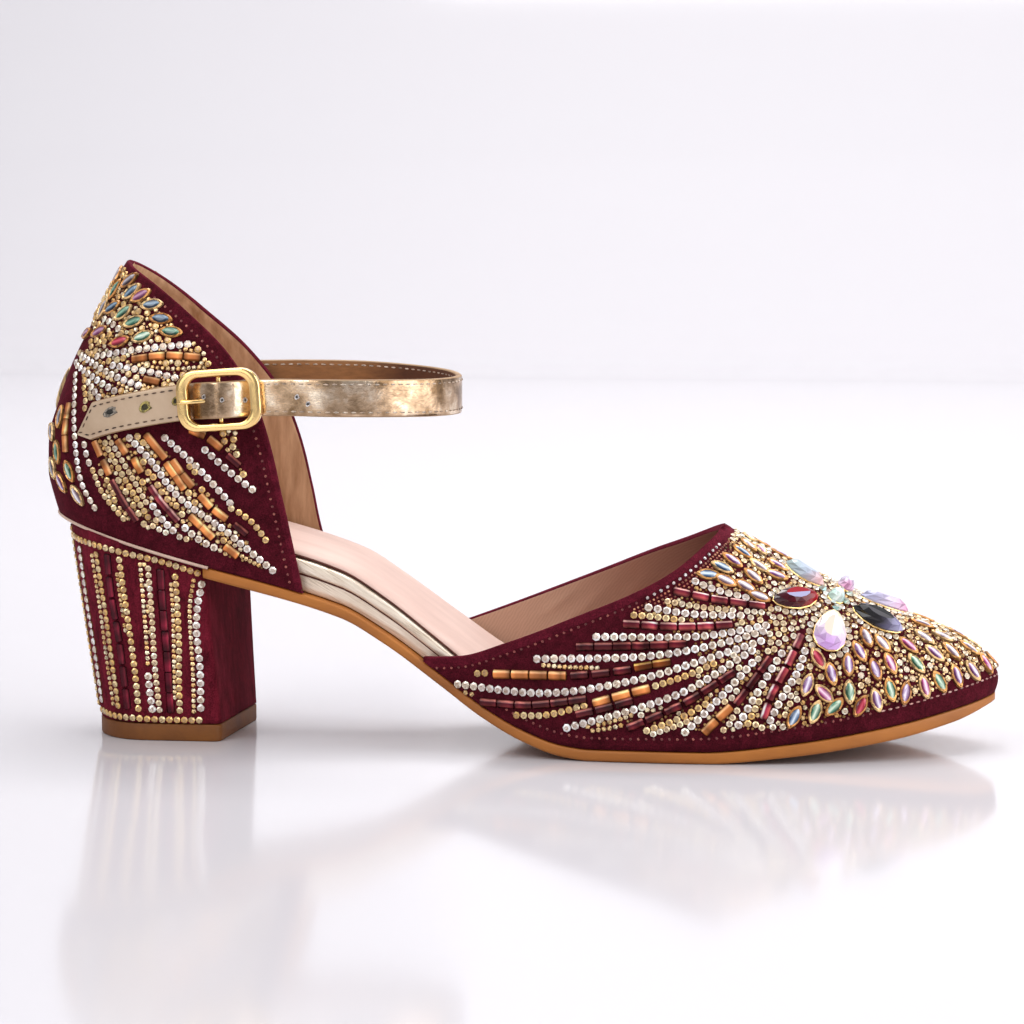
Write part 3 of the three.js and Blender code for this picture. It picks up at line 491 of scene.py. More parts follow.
class Skin:
    """Grids of points gathered into one mesh, each face with its material's number."""

    def __init__(self):
        self.points = []
        self.faces = []
        self.slots = []
        self.count = 0

    def grid(self, points, slot=0, closed=False):
        quads = quads_of(points, self.count, closed)
        slots = np.broadcast_to(slot, quads.shape[:2])
        flat = points.reshape(-1, 3)
        self.points.append(flat)
        self.faces += quads.reshape(-1, 4).tolist()
        self.slots += slots.reshape(-1).tolist()
        self.count += len(flat)

    def fan(self, ring, slot=0):
        """A flat end across a ring."""
        index = list(range(self.count, self.count + len(ring)))
        self.points.append(np.asarray(ring))
        self.faces.append(index)
        self.slots.append(slot)
        self.count += len(ring)

    def capped(self, rings, slot=0, cap=0):
        """A tube of rings with a flat end on both sides."""
        self.grid(rings, slot, closed=True)
        self.fan(rings[0], cap)
        self.fan(rings[-1], cap)

    def wall(self, outer, inner, bound, top=slice(None)):
        """A wall's outside, inside, round top edge, foot and open end; bound points have the binding, whose
        lighter velvet is a painted sheen.
        """
        cloth, lining, edge = range(3)
        self.grid(outer, np.where(bound[:-1, :-1], edge, cloth))
        self.grid(inner, lining)
        self.grid(rim(outer[top, -1], inner[top, -1], outer[top, -1] - outer[top, -2]), edge)
        self.grid(np.stack([outer[:, 0], inner[:, 0]], 1), lining)
        self.grid(np.stack([outer[0], inner[0]], 1), edge)

    def bodies(self, points, faces):
        """Loose bodies as arrays of points and triangles."""
        self.points.append(points)
        self.faces += (faces + self.count).tolist()
        self.slots += [0] * len(faces)
        self.count += len(points)

    def piece(self, name, materials, node=None, smooth=True, weld=True):
        """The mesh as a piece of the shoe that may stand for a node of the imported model."""
        mesh = bpy.data.meshes.new(name)
        mesh.from_pydata(to_frame(np.vstack(self.points)).tolist(), [], self.faces)
        for one in materials:
            mesh.materials.append(one)
        mesh.polygons.foreach_set("material_index", self.slots)
        if weld:
            welded = bmesh.new()
            welded.from_mesh(mesh)
            bmesh.ops.remove_doubles(welded, verts=welded.verts, dist=2e-6)
            bmesh.ops.dissolve_degenerate(welded, edges=welded.edges, dist=1e-7)
            bmesh.ops.recalc_face_normals(welded, faces=welded.faces)
            welded.to_mesh(mesh)
            welded.free()
        mesh.polygons.foreach_set("use_smooth", [smooth] * len(mesh.polygons))
        mesh.update()
        made = bpy.data.objects.new(name, mesh)
        bpy.context.scene.collection.objects.link(made)
        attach(made, "root")
        if node:
            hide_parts(node)
        return made


def rim(outer, inner, up, steps=6, bulge=0.5):
    """A round edge between the tops of an outer and an inner wall."""
    middle = (outer + inner) / 2
    half = (outer - inner) / 2
    rise = unit(up) * np.linalg.norm(half, axis=-1, keepdims=True) * bulge
    turns = np.linspace(0, math.pi, steps + 1)
    return np.stack([middle + half * math.cos(a) + rise * math.sin(a) for a in turns], 1)


def edge_distance(points, edge):
    """How far each point lies from an edge line."""
    tree = KDTree(len(edge))
    for i, point in enumerate(edge):
        tree.insert(point, i)
    tree.balance()
    flat = [tree.find(point)[2] for point in points.reshape(-1, 3)]
    return np.array(flat).reshape(points.shape[:2])


def smoothstep(low, high, value):
    t = np.clip((value - low) / (high - low), 0, 1)
    return t * t * (3 - 2 * t)


# Vamp
VAMP_REAR_STEPS = 80
VAMP_FRONT_STEPS = 70
VAMP_LEVELS = 44
BINDING_EDGE = (2.0, 2.6)
BINDING_RAISE = 0.3

# Soft creases of the lining: ends as x and share of the wall's height, width and depth
CREASE_HEIGHT = 50
LINING_CREASES = table("x0 up0 x1 up1 wide deep",
                       (122, 0.3, 150, 0.9, 2.2, 0.3), (134, 0.2, 160, 0.85, 2.6, 0.35),
                       (147, 0.18, 169, 0.8, 2.2, 0.28), (158, 0.15, 176, 0.7, 2.4, 0.3),
                       (128, 0.7, 140, 0.95, 2, 0.25), (168, 0.2, 180, 0.6, 2.4, 0.25))


def creases(x, up):
    """Depth of the lining's creases at a place."""
    height = up * CREASE_HEIGHT
    depth = np.zeros_like(x)
    for x0, up0, x1, up1, wide, deep in zip(*LINING_CREASES.values()):
        foot = up0 * CREASE_HEIGHT
        run, rise = x1 - x0, up1 * CREASE_HEIGHT - foot
        t = np.clip(((x - x0) * run + (height - foot) * rise) / (run ** 2 + rise ** 2), 0, 1)
        away = np.hypot(x - x0 - t * run, height - foot - t * rise)
        depth += deep * np.exp(-(away / wide) ** 2) * np.sin(math.pi * np.clip(t, 0.05, 0.95))
    return depth


def vamp_spokes(side):
    """Feet, tops and top angles of the lines that run up the vamp to its topline and ridge."""
    xs = THROAT_X - (THROAT_X - VAMP_REAR_X) * np.linspace(1, 0, 900) ** 2
    edge = vamp_point(xs, topline_angle(xs, side), side)
    tops = evenly_read(edge, VAMP_REAR_STEPS + 1, xs)[:, 0]
    feet = np.linspace(VAMP_REAR_X, THROAT_FOOT_X, VAMP_REAR_STEPS + 1)
    share = np.sin(np.arange(1, VAMP_FRONT_STEPS + 1) / VAMP_FRONT_STEPS * math.pi / 2)
    low = np.append(feet, blend(THROAT_FOOT_X, TOE_X, share))
    high = np.append(tops, blend(THROAT_X, TOE_X, share))
    return low, high, topline_angle(high, side)


def vamp_wall(side):
    """Outer and inner grids of one side of the vamp, and how far its binding raises the outer one."""
    low, high, top = (column[:, None] for column in vamp_spokes(side))
    share = np.linspace(0, 1, VAMP_LEVELS + 1)[None, :]
    x, angle = blend(low, high, share), top * share
    points, normals = vamp_point(x, angle, side), vamp_normal(x, angle, side)
    away = edge_distance(points, points[:VAMP_REAR_STEPS + 1, -1])
    raised = BINDING_RAISE * (1 - smoothstep(*BINDING_EDGE, away))
    outer = points + normals * raised[..., None]
    inner = points - normals * (WALL + creases(x, share))[..., None]
    return outer, inner, raised


def make_vamp():
    skin = Skin()
    for side in SIGN:
        outer, inner, raised = vamp_wall(side)
        skin.wall(outer, inner, raised > BINDING_RAISE / 2, slice(0, VAMP_REAR_STEPS + 1))
    return skin.piece("vamp_velvet", [velvet, vamp_lining, binding_sheen], "vamp")


# Counter
COUNTER_SPOKES = 90
COUNTER_LEVELS = 40
COUNTER_EDGE = 1.3


def counter_spokes(side):
    """Feet and tops, as turn and height, of the lines that run up the counter."""
    collar = spline(np.stack([COLLAR[side], COLLAR["z"]], -1), 600)
    turns = counter_turn(collar[:, 0], collar[:, 1])
    turns[-1] = 0
    edge = counter_point(turns, collar[:, 1], side)
    high = evenly_read(edge, COUNTER_SPOKES + 1, turns, collar[:, 1])
    turn = np.linspace(turns[0], 0, 600)
    z = np.full_like(turn, COLLAR["z"][0])
    for _ in range(12):
        z = feather(counter_point(turn, z, side)[:, 0]) + FIT
    low = evenly_read(counter_point(turn, z, side), COUNTER_SPOKES + 1, turn, z)
    return low, high


def counter_wall(side):
    """Outer and inner grids of one side of the counter, and the outer one's distance from the collar."""
    low, high = counter_spokes(side)
    share = np.linspace(0, 1, COUNTER_LEVELS + 1)[None, :, None]
    spots = blend(low[:, None], high[:, None], share)
    turn, z = spots[..., 0], spots[..., 1]
    points, normals = counter_point(turn, z, side), counter_normal(turn, z, side)
    inner = points - normals * WALL
    return points, inner, edge_distance(points, points[:, -1])


def make_counter():
    skin = Skin()
    for side in SIGN:
        outer, inner, away = counter_wall(side)
        skin.wall(outer, inner, away < COUNTER_EDGE)
    return skin.piece("counter_velvet", [velvet, quarter_lining, binding_sheen], "quarter")


# Sole, insole and sock: profiles across the foot as share of the half width, inset and level
FOOT_STEPS = 170
SOLE_PROFILE = table("share inset level", (0, 0, 0), (0.3, 0, 0), (0.6, 0, 0), (0.85, 0, 0), (1, 1.2, 0),
                     (1, 0.5, 0.05), (1, 0.14, 0.15), (1, 0, 0.3), (1, 0, 0.53), (1, 0, 0.77), (1, 0.1, 0.9),
                     (1, 0.35, 0.98), (1, 0.7, 1), (0.7, 0, 1), (0.35, 0, 1), (0, 0, 1))
INSOLE_PROFILE = table("share inset level", (0, 0, 0), (0.5, 0, 0), (INSOLE_NARROW, 0.2, 0),
                       (INSOLE_NARROW, 0, 0.04), (INSOLE_NARROW, 0, 0.28), (INSOLE_NARROW, 0, 0.5),
                       (0.975, 0, 0.56), (0.99, 0, 0.575), (1, 0, 0.64), (1, -0.1, 0.76), (1, -0.05, 0.88),
                       (0.99, 0, 0.97), (0.97, 0, 1), (0.8, 0, 1), (0.4, 0, 1), (0, 0, 1))
SOCK_PROFILE = table("share inset level", (0, 0, 0), (0.5, 0, 0), (0.97, 0, 0), (1, 0, 0.07), (1, 0, 0.2),
                     (0.985, 0, 0.4), (0.95, 0, 0.53), (0.9, 0, 0.62), (0.8, 0, 0.74), (0.65, 0, 0.86),
                     (0.45, 0, 0.95), (0.2, 0, 1), (0, 0, 1))

# Dark faces of the rings: at the sock's lower edge, partly painted shade between sock and insole, and in the
# insole's groove, painted shade under its lip
SOCK_EDGE_FACES = (2, 3)
INSOLE_GROOVE_SHADE_FACES = (5, 6)


def foot_rings(x, inset, profile, low, height):
    """Closed rings across the foot at each x, from the middle of the underside round."""
    sides = []
    for side in SIGN:
        half = half_width(x, side, inset)[:, None]
        y = SIGN[side] * np.maximum(half * profile["share"] - np.minimum(profile["inset"], half * 0.5), 0)
        z = low[:, None] + height[:, None] * profile["level"]
        sides.append(np.stack([np.broadcast_to(x[:, None], y.shape), y, z], -1))
    return np.concatenate([sides[0], sides[1][:, -2:0:-1]], 1)


def on_faces(rings, faces):
    """1 on the faces of a ring with these numbers, on both sides of the foot."""
    column = np.arange(rings.shape[1])
    return np.isin(np.minimum(column, column[::-1]), faces).astype(int)


def foot_stations(first, last, round_start):
    t = np.linspace(0, 1, FOOT_STEPS + 1)
    share = (1 - np.cos(math.pi * t)) / 2 if round_start else np.sin(math.pi / 2 * t)
    return blend(first, last, share)


def make_outsole():
    x = foot_stations(SOLE_REAR_X, TOE_X, False)
    rings = foot_rings(x, 0, SOLE_PROFILE, feather(x) - sole_thickness(x), sole_thickness(x))
    fade = np.maximum(1 - (x - SOLE_REAR_X) / SOLE_SKEW_REACH, 0)[:, None]
    moved = x[:, None] + BREAST_SKEW * rings[..., 1] * fade
    rings[..., 2] += feather(moved) - feather(x)[:, None]
    rings[..., 0] = moved
    skin = Skin()
    skin.grid(rings, closed=True)
    skin.fan(rings[0])
    return skin.piece("outsole_leather", [sole_leather], "outsole")


def make_insole():
    x = foot_stations(SEAT_REAR_X + INSOLE_INSET, TOE_X - INSOLE_INSET, True)
    rings = foot_rings(x, INSOLE_INSET, INSOLE_PROFILE, feather(x) + FIT, insole_height(x) - FIT)
    skin = Skin()
    # Painted shade: the faces of the groove under the insole's lip are dark
    skin.grid(rings, on_faces(rings, INSOLE_GROOVE_SHADE_FACES), closed=True)
    return skin.piece("insole_wrap", [insole_gold, dark_edge_and_groove_shade], "insole_board")


def make_sock():
    x = foot_stations(SEAT_REAR_X + SOCK_INSET, TOE_X - SOCK_INSET, True)
    crown = SOCK_CROWN * np.minimum(half_width(x, "lateral", SOCK_INSET) / SEAT_HALF, 1)
    rings = foot_rings(x, SOCK_INSET, SOCK_PROFILE, feather(x) + insole_height(x) + FIT, SOCK_EDGE + crown)
    skin = Skin()
    # The sock's lower edge is dark, partly painted shade between sock and insole
    skin.grid(rings, on_faces(rings, SOCK_EDGE_FACES), closed=True)
    return skin.piece("sock_leather", [sock_leather, dark_edge_and_groove_shade], "sock")


# Heel, top lift and rand
HEEL_LEVELS = 36
HEEL_ROUND = 160
LIFT_PROFILE = table("z inset", (0, 0.5), (0.15, 0.15), (0.5, 0), (2.2, 0), (4.1, 0), (4.4, 0.12),
                     (LIFT_HEIGHT, 0.4))
RAND_FRONT_X = 50
RAND_RADIUS = 0.42
RAND_STEPS = 180
heel_shape = {name: curve(HEEL, "v", name) for name in ("back", "front", "half", "depth")}


def heel_plan(v, inset=0.0):
    """Outline of the heel at a level, from the middle of the breast round the lateral side and back."""
    back, front, half, depth = (float(heel_shape[name](v)) for name in ("back", "front", "half", "depth"))
    corner = np.linspace(0, math.pi / 2, 8)
    bend = np.linspace(math.pi / 2, math.pi, 40)
    lateral = np.vstack([
        [(front, 0)],
        np.stack([front - HEEL_CORNER + HEEL_CORNER * np.cos(corner),
                  HEEL_CORNER - half - HEEL_CORNER * np.sin(corner)], -1),
        np.stack([back + depth + depth * np.cos(bend), -half * np.sin(bend)], -1),
    ])
    whole = np.vstack([lateral, lateral[-2::-1] * (1, -1)])
    skew = BREAST_SKEW * whole[:, 1] * (whole[:, 0] - back) / (front - back)
    plan = np.stack([whole[:, 0] + skew, whole[:, 1]], -1)
    middle = np.array([(back + front) / 2, 0])
    return plan - unit(plan - middle) * inset


def heel_ring(v):
    plan = evenly(heel_plan(v), HEEL_ROUND + 1)[:-1]
    z = blend(LIFT_HEIGHT + FIT, feather(plan[:, 0]), v)
    return np.column_stack([plan, z])


def make_heel():
    skin = Skin()
    skin.capped(np.stack([heel_ring(v) for v in np.linspace(0, 1, HEEL_LEVELS + 1)]))
    return skin.piece("heel_cover", [heel_velvet], "heel_block")


def make_lift():
    rings = []
    for z, inset in zip(*LIFT_PROFILE.values()):
        plan = evenly(heel_plan(0, inset), HEEL_ROUND + 1)[:-1]
        rings.append(np.column_stack([plan, np.full(HEEL_ROUND, z)]))
    skin = Skin()
    skin.capped(np.stack(rings))
    return skin.piece("top_lift_leather", [lift_leather], "top_lift")


def tube(path, radius, sides):
    """Rings of a round cord along a path; the radius may change along it."""
    along = unit(np.gradient(path, axis=0))
    first = unit(np.cross(along, (0.13, 0.2, 0.97)))
    second = np.cross(along, first)
    turns = np.linspace(0, 2 * math.pi, sides, endpoint=False)
    spread = first[:, None] * np.cos(turns)[None, :, None] + second[:, None] * np.sin(turns)[None, :, None]
    return path[:, None] + spread * np.broadcast_to(radius, len(path))[:, None, None]


def make_rand():
    """The pale rand that shows between the counter and the heel."""
    sides = [counter_wall(side)[0][:, 0] for side in SIGN]
    path = np.vstack([sides[0], sides[1][-2::-1]]) - (0, 0, FIT / 2)
    skin = Skin()
    skin.capped(tube(evenly(path[path[:, 0] < RAND_FRONT_X], RAND_STEPS), RAND_RADIUS, 8))
    return skin.piece("seat_rand", [rand_leather])


# Ankle strap
STRAP_STEPS = 620
STRAP_TIP = {"upper": 6.8, "lower": 3.4, "point": -0.46, "blunt": 0.08}
TAIL_X = 44
STRAP_SECTION = table("across depth", (-0.94, -0.5), (-0.8, -0.54), (-0.6, -0.56), (-0.3, -0.57), (0, -0.57),
                      (0.3, -0.57), (0.6, -0.56), (0.8, -0.54), (0.94, -0.5), (0.99, -0.36), (1, 0),
                      (0.99, 0.36), (0.94, 0.5), (0.5, 0.5), (0, 0.5), (-0.5, 0.5), (-0.94, 0.5),
                      (-0.99, 0.36), (-1, 0), (-0.99, -0.36))
STRAP_OUTER_FACES = slice(0, 8)
STRAP_INNER_FACES = slice(12, 16)
strap_path = spline(np.stack([STRAP["x"], STRAP["y"], STRAP["z"]], -1), STRAP_STEPS + 1)
strap_length = float(np.linalg.norm(np.diff(strap_path, axis=0), axis=1).sum())
strap_along = unit(np.gradient(strap_path, axis=0))
strap_wide = unit(np.array([0, 0, 1]) - strap_along * strap_along[:, 2:])
strap_in = np.cross(strap_along, strap_wide)
strap_share = np.linspace(0, 1, STRAP_STEPS + 1)
strap_left = strap_length * (1 - strap_share)
strap_half = blend(STRAP_SEWN, STRAP_FREE, strap_share) / 2
tip_above = np.minimum(strap_left / STRAP_TIP["upper"], 1)
tip_below = np.minimum(strap_left / STRAP_TIP["lower"], 1)
strap_upper = strap_half * blend(STRAP_TIP["point"] + STRAP_TIP["blunt"], 1, tip_above)
strap_lower = strap_half * blend(STRAP_TIP["point"] - STRAP_TIP["blunt"], -1, tip_below)


def strap_lines(across, depth):
    """Lines along the strap, from its lower edge at -1 to its upper edge at 1.
    The depth is a share of its thickness from the middle, negative towards the outer face."""
    place = blend(strap_lower[:, None], strap_upper[:, None], (np.asarray(across) + 1) / 2)
    return (strap_path[:, None] + strap_wide[:, None] * place[..., None]
            + strap_in[:, None] * (STRAP_THICKNESS * np.broadcast_to(depth, len(across)))[None, :, None])


def make_strap():
    leathers = [foil, tail_leather, strap_suede, strap_edge]
    face, tail_face, inside, edge = range(len(leathers))
    rings = strap_lines(STRAP_SECTION["across"], STRAP_SECTION["depth"])
    tail = (strap_path[:-1, 0] < TAIL_X) & (strap_path[:-1, 1] < 0)
    slots = np.full((STRAP_STEPS, rings.shape[1]), edge)
    slots[:, STRAP_OUTER_FACES] = np.where(tail, tail_face, face)[:, None]
    slots[:, STRAP_INNER_FACES] = inside
    skin = Skin()
    skin.capped(rings, slots, edge)
    return skin.piece("strap_leather", leathers, "ankle_strap")


# Buckle, in its own frame: x along the strap, y up, z away from the shoe
BUCKLE_PLACE = np.array([53.9, -30.3, 90.5])
BUCKLE_TILT = math.radians(4)
BUCKLE_WIDTH = 22
BUCKLE_HEIGHT = 15.9
BUCKLE_SIDE = 3
BUCKLE_BAR = 2
BUCKLE_DEPTH = 2.6
BUCKLE_ROUND = 5.1
BUCKLE_HOLE = 3.2
BUCKLE_EDGE = 0.55
BAR_RADIUS = 0.6
BAR_LEVEL = 0.5
TAB_WIDTH = 8
TAB_REACH = 18
TAB_LEVEL = -2.98
TAB_THICKNESS = 0.7
TAB_SLOT = 1.9
TAB_SLOT_X = -3.4
TAB_GAP = 0.3
TAB_PATH = [(-TAB_REACH, TAB_LEVEL), (-9, TAB_LEVEL), (-4.2, TAB_LEVEL), (-2.3, -2.1)]
PRONG_RADIUS = 0.55
EYE_RADIUS = 1.2
EYE_HALF = 0.6
EYE_FLATNESS = 0.5
PRONG_PATH = np.array([(-1.1, 0, 1), (-5, 0, 4.6), (-10.7, 0, 3.5)])


def from_buckle(points):
    points = np.asarray(points, float)
    c, s = math.cos(BUCKLE_TILT), math.sin(BUCKLE_TILT)
    x, y, z = points[..., 0], points[..., 1], points[..., 2]
    return np.stack([c * x - s * y, -z, s * x + c * y], -1) + BUCKLE_PLACE


def rounded_rectangle(width, height, radius):
    corner = np.linspace(0, math.pi / 2, 14)
    centres = [(1, 1), (-1, 1), (-1, -1), (1, -1)]
    points = []
    for turn, (sx, sy) in enumerate(centres):
        angle = corner + turn * math.pi / 2
        points.append(np.stack([sx * (width / 2 - radius) + radius * np.cos(angle),
                                sy * (height / 2 - radius) + radius * np.sin(angle)], -1))
    return np.vstack(points + [points[0][:1]])


def make_buckle_frame():
    outer = rounded_rectangle(BUCKLE_WIDTH, BUCKLE_HEIGHT, BUCKLE_ROUND)
    inner = rounded_rectangle(BUCKLE_WIDTH - 2 * BUCKLE_SIDE, BUCKLE_HEIGHT - 2 * BUCKLE_BAR, BUCKLE_HOLE)
    turns = np.linspace(0, 2 * math.pi, 24, endpoint=False)
    wide = np.sign(np.cos(turns)) * np.abs(np.cos(turns)) ** BUCKLE_EDGE
    deep = np.sign(np.sin(turns)) * np.abs(np.sin(turns)) ** BUCKLE_EDGE * BUCKLE_DEPTH / 2
    flat = (outer + inner)[:, None] / 2 + (outer - inner)[:, None] / 2 * wide[None, :, None]
    rings = np.concatenate([flat, np.broadcast_to(BUCKLE_DEPTH / 2 + deep, flat.shape[:2])[..., None]], -1)
    skin = Skin()
    skin.grid(from_buckle(rings), closed=True)
    reach = (BUCKLE_HEIGHT - BUCKLE_BAR) / 2
    ends = np.array([(0, -reach, BAR_LEVEL), (0, reach, BAR_LEVEL)])
    skin.capped(from_buckle(tube(evenly(ends, 9), BAR_RADIUS, 14)))
    return skin.piece("buckle_ring", [gold_metal], "buckle_frame")


def make_prong():
    """A rod that thins to its tip, with an eye round the centre bar."""
    t = np.linspace(0, 1, 26)[:, None]
    first, second, third = PRONG_PATH
    path = (1 - t) ** 2 * first + 2 * t * (1 - t) * second + t * t * third
    left = 1 - t[:, 0]
    radius = PRONG_RADIUS * np.minimum(1, 0.55 + 2.4 * left) * np.minimum(1, 0.3 + 12 * left)
    skin = Skin()
    skin.capped(from_buckle(tube(path, radius, 12)))
    turns = np.linspace(0, 2 * math.pi, 33)
    middle = np.stack([EYE_RADIUS * np.cos(turns), np.zeros(33), BAR_LEVEL + EYE_RADIUS * np.sin(turns)], -1)
    out, side = unit(middle - (0, 0, BAR_LEVEL)), np.array([0, 1, 0])
    eye = np.stack([middle + EYE_HALF * (math.cos(a) * out * EYE_FLATNESS + math.sin(a) * side)
                    for a in np.linspace(0, 2 * math.pi, 10, endpoint=False)], 1)
    skin.grid(from_buckle(eye), closed=True)
    return skin.piece("buckle_tongue", [gold_metal], "buckle_prong")


def make_tab():
    """The leather loop that holds the buckle: one strip that parts in two round the centre bar."""
    turns = np.linspace(-0.72 * math.pi, 0.86 * math.pi, 22)
    radius = BAR_RADIUS + TAB_GAP + TAB_THICKNESS / 2
    loop = np.stack([radius * np.cos(turns), BAR_LEVEL + radius * np.sin(turns)], -1)
    path = spline(np.vstack([TAB_PATH, loop]), 90)
    along = unit(np.gradient(path, axis=0))
    out = np.stack([-along[:, 1], along[:, 0]], -1) * TAB_THICKNESS / 2
    whole, before_slot = np.ones(len(path), bool), path[:, 0] < TAB_SLOT_X
    edge, slot = TAB_WIDTH / 2, TAB_SLOT / 2
    skin = Skin()
    for low, high, keep in [(-edge, -slot, whole), (slot, edge, whole), (-slot, slot, before_slot)]:
        corners = [(low, 1), (high, 1), (high, -1), (low, -1)]
        rings = np.stack([np.stack([path[keep, 0] + s * out[keep, 0], np.full(keep.sum(), y),
                                    path[keep, 1] + s * out[keep, 1]], -1) for y, s in corners], 1)
        skin.capped(from_buckle(rings))
    return skin.piece("buckle_loop", [strap_edge], "buckle_tab", smooth=False, weld=False)


# Studio: the sky's brightness along a leaning axis, from below and in front to above and behind
SKY_LEAN = (0, 0.45, 0.89)
SKY = [(0.0, (0.1, 0.1, 0.11)), (0.4, (0.2, 0.2, 0.21)), (0.65, (0.45, 0.45, 0.47)), (1.0, (0.8, 0.82, 0.86))]

# Floor in metres: its ends, the bend up to the wall behind and the top of that wall
FLOOR_FRONT = -9.0
FLOOR_BACK = 1.5
FLOOR_SIDE = 7.0
FLOOR_BEND = 0.6
FLOOR_TOP = 2.2

# Gloss of the floor: where along the shoe it begins to fade, over what length, and its roughness
FLOOR_GLOSS_END = 180
FLOOR_GLOSS_FADE = 420
FLOOR_ROUGHNESS = (0.11, 0.8)

# Lamps in metres: place, where they point, size and power
SHOE_MIDDLE = (0, 0, 0.06)
LIGHTS = [
    ("key", (-0.55, -0.75, 0.95), SHOE_MIDDLE, 0.7, 6.5),
    ("fill", (1.15, -0.25, 0.4), SHOE_MIDDLE, 1.3, 16),
    ("top", (0.05, 0.25, 1.1), SHOE_MIDDLE, 0.9, 6),
    ("low", (-0.35, -1.1, 0.3), SHOE_MIDDLE, 0.5, 1),
    ("wall", (0, 0.9, 1.5), (0, 2.1, 0.1), 1.2, 27),
]


def make_floor():
    """A pale floor that bends up into a wall behind."""
    mesh = bpy.data.meshes.new("floor")
    angle = np.linspace(0, math.pi / 2, 16)
    bend = np.stack([FLOOR_BACK + FLOOR_BEND * np.sin(angle), FLOOR_BEND - FLOOR_BEND * np.cos(angle)], -1)
    line = np.vstack([[(FLOOR_FRONT, 0)], bend, [(FLOOR_BACK + FLOOR_BEND, FLOOR_TOP)]])
    points = [(x, y, z) for y, z in line for x in (-FLOOR_SIDE, FLOOR_SIDE)]
    faces = [(2 * i, 2 * i + 1, 2 * i + 3, 2 * i + 2) for i in range(len(line) - 1)]
    mesh.from_pydata(points, [], faces)
    mesh.polygons.foreach_set("use_smooth", [True] * len(faces))
    floor_paint = material("floor_paint", (0.61, 0.59, 0.615), 0.12, Specular_IOR_Level=0.4)
    side = texture(floor_paint, "Gradient", FLOOR_GLOSS_FADE, start=FLOOR_GLOSS_END)
    paint(floor_paint, "Roughness", span(floor_paint, side, *FLOOR_ROUGHNESS))
    mesh.materials.append(floor_paint)
    floor = bpy.data.objects.new("floor", mesh)
    bpy.context.scene.collection.objects.link(floor)


def make_sky():
    world = bpy.data.worlds.new("studio")
    world.use_nodes = True
    nodes, links = world.node_tree.nodes, world.node_tree.links
    coordinates = nodes.new("ShaderNodeTexCoord")
    lean = nodes.new("ShaderNodeVectorMath")
    lean.operation = "DOT_PRODUCT"
    lean.inputs[1].default_value = SKY_LEAN
    links.new(coordinates.outputs["Generated"], lean.inputs[0])
    sky = ramp(world, span(world, lean.outputs["Value"], 0.5, 1.0), *SKY)
    links.new(sky, nodes["Background"].inputs["Color"])
    bpy.context.scene.world = world
    bpy.context.scene.view_settings.view_transform = "Standard"


def make_lamps():
    for name, place, aim, size, power in LIGHTS:
        lamp = bpy.data.lights.new(name, "AREA")
        lamp.size = size
        lamp.energy = power
        made = bpy.data.objects.new(name, lamp)
        made.location = place
        made.visible_camera = False
        made.rotation_euler = (Vector(aim) - Vector(place)).to_track_quat("-Z", "Y").to_euler()
        bpy.context.scene.collection.objects.link(made)


# Eye and axes of the photograph's camera
view_back = np.array([math.sin(VIEW_AZIMUTH) * math.cos(VIEW_ELEVATION),
                      -math.cos(VIEW_AZIMUTH) * math.cos(VIEW_ELEVATION), math.sin(VIEW_ELEVATION)])
view_eye = VIEW_TARGET + view_back * VIEW_DISTANCE
view_focal = VIEW_SCALE * VIEW_DISTANCE
view_right = np.array([math.cos(VIEW_AZIMUTH), math.sin(VIEW_AZIMUTH), 0])
view_up = np.cross(view_right, -view_back)


def make_camera():
    lens = bpy.data.cameras.new("camera")
    lens.sensor_width = SENSOR
    lens.lens = view_focal / PHOTO_SIDE * SENSOR
    made = bpy.data.objects.new("camera", lens)
    made.location = to_frame(view_eye)
    made.rotation_euler = Vector(-view_back).to_track_quat("-Z", "Y").to_euler()
    bpy.context.scene.collection.objects.link(made)
    bpy.context.scene.camera = made


# Embellishment: finishes

def tinted(name, roughness, metallic, **sockets):
    """A finish whose colour is the tint of each bead or facet: its own colour with painted glints, highlights
    and shade.
    """
    made = material(name, (0.8, 0.8, 0.8), roughness, metallic, **sockets)
    tint = made.node_tree.nodes.new("ShaderNodeAttribute")
    tint.attribute_name = "tint"
    paint(made, "Base Color", tint.outputs["Color"])
    return made


strass_finish = tinted("strass_finish", 0.14, 0.3, Coat_Weight=0.25, Coat_Roughness=0.05)
bugle_finish = tinted("bugle_finish", 0.25, 0.1, Coat_Weight=0.1, Coat_Roughness=0.05,
                      Specular_IOR_Level=0.12)
stone_finish = tinted("stone_finish", 0.08, 0.0, Coat_Weight=0.2, Coat_Roughness=0.02, Specular_IOR_Level=0.3)
setting_finish = tinted("setting_finish", 0.28, 0.35)
pin_finish = tinted("pin_finish", 0.5, 0.2)

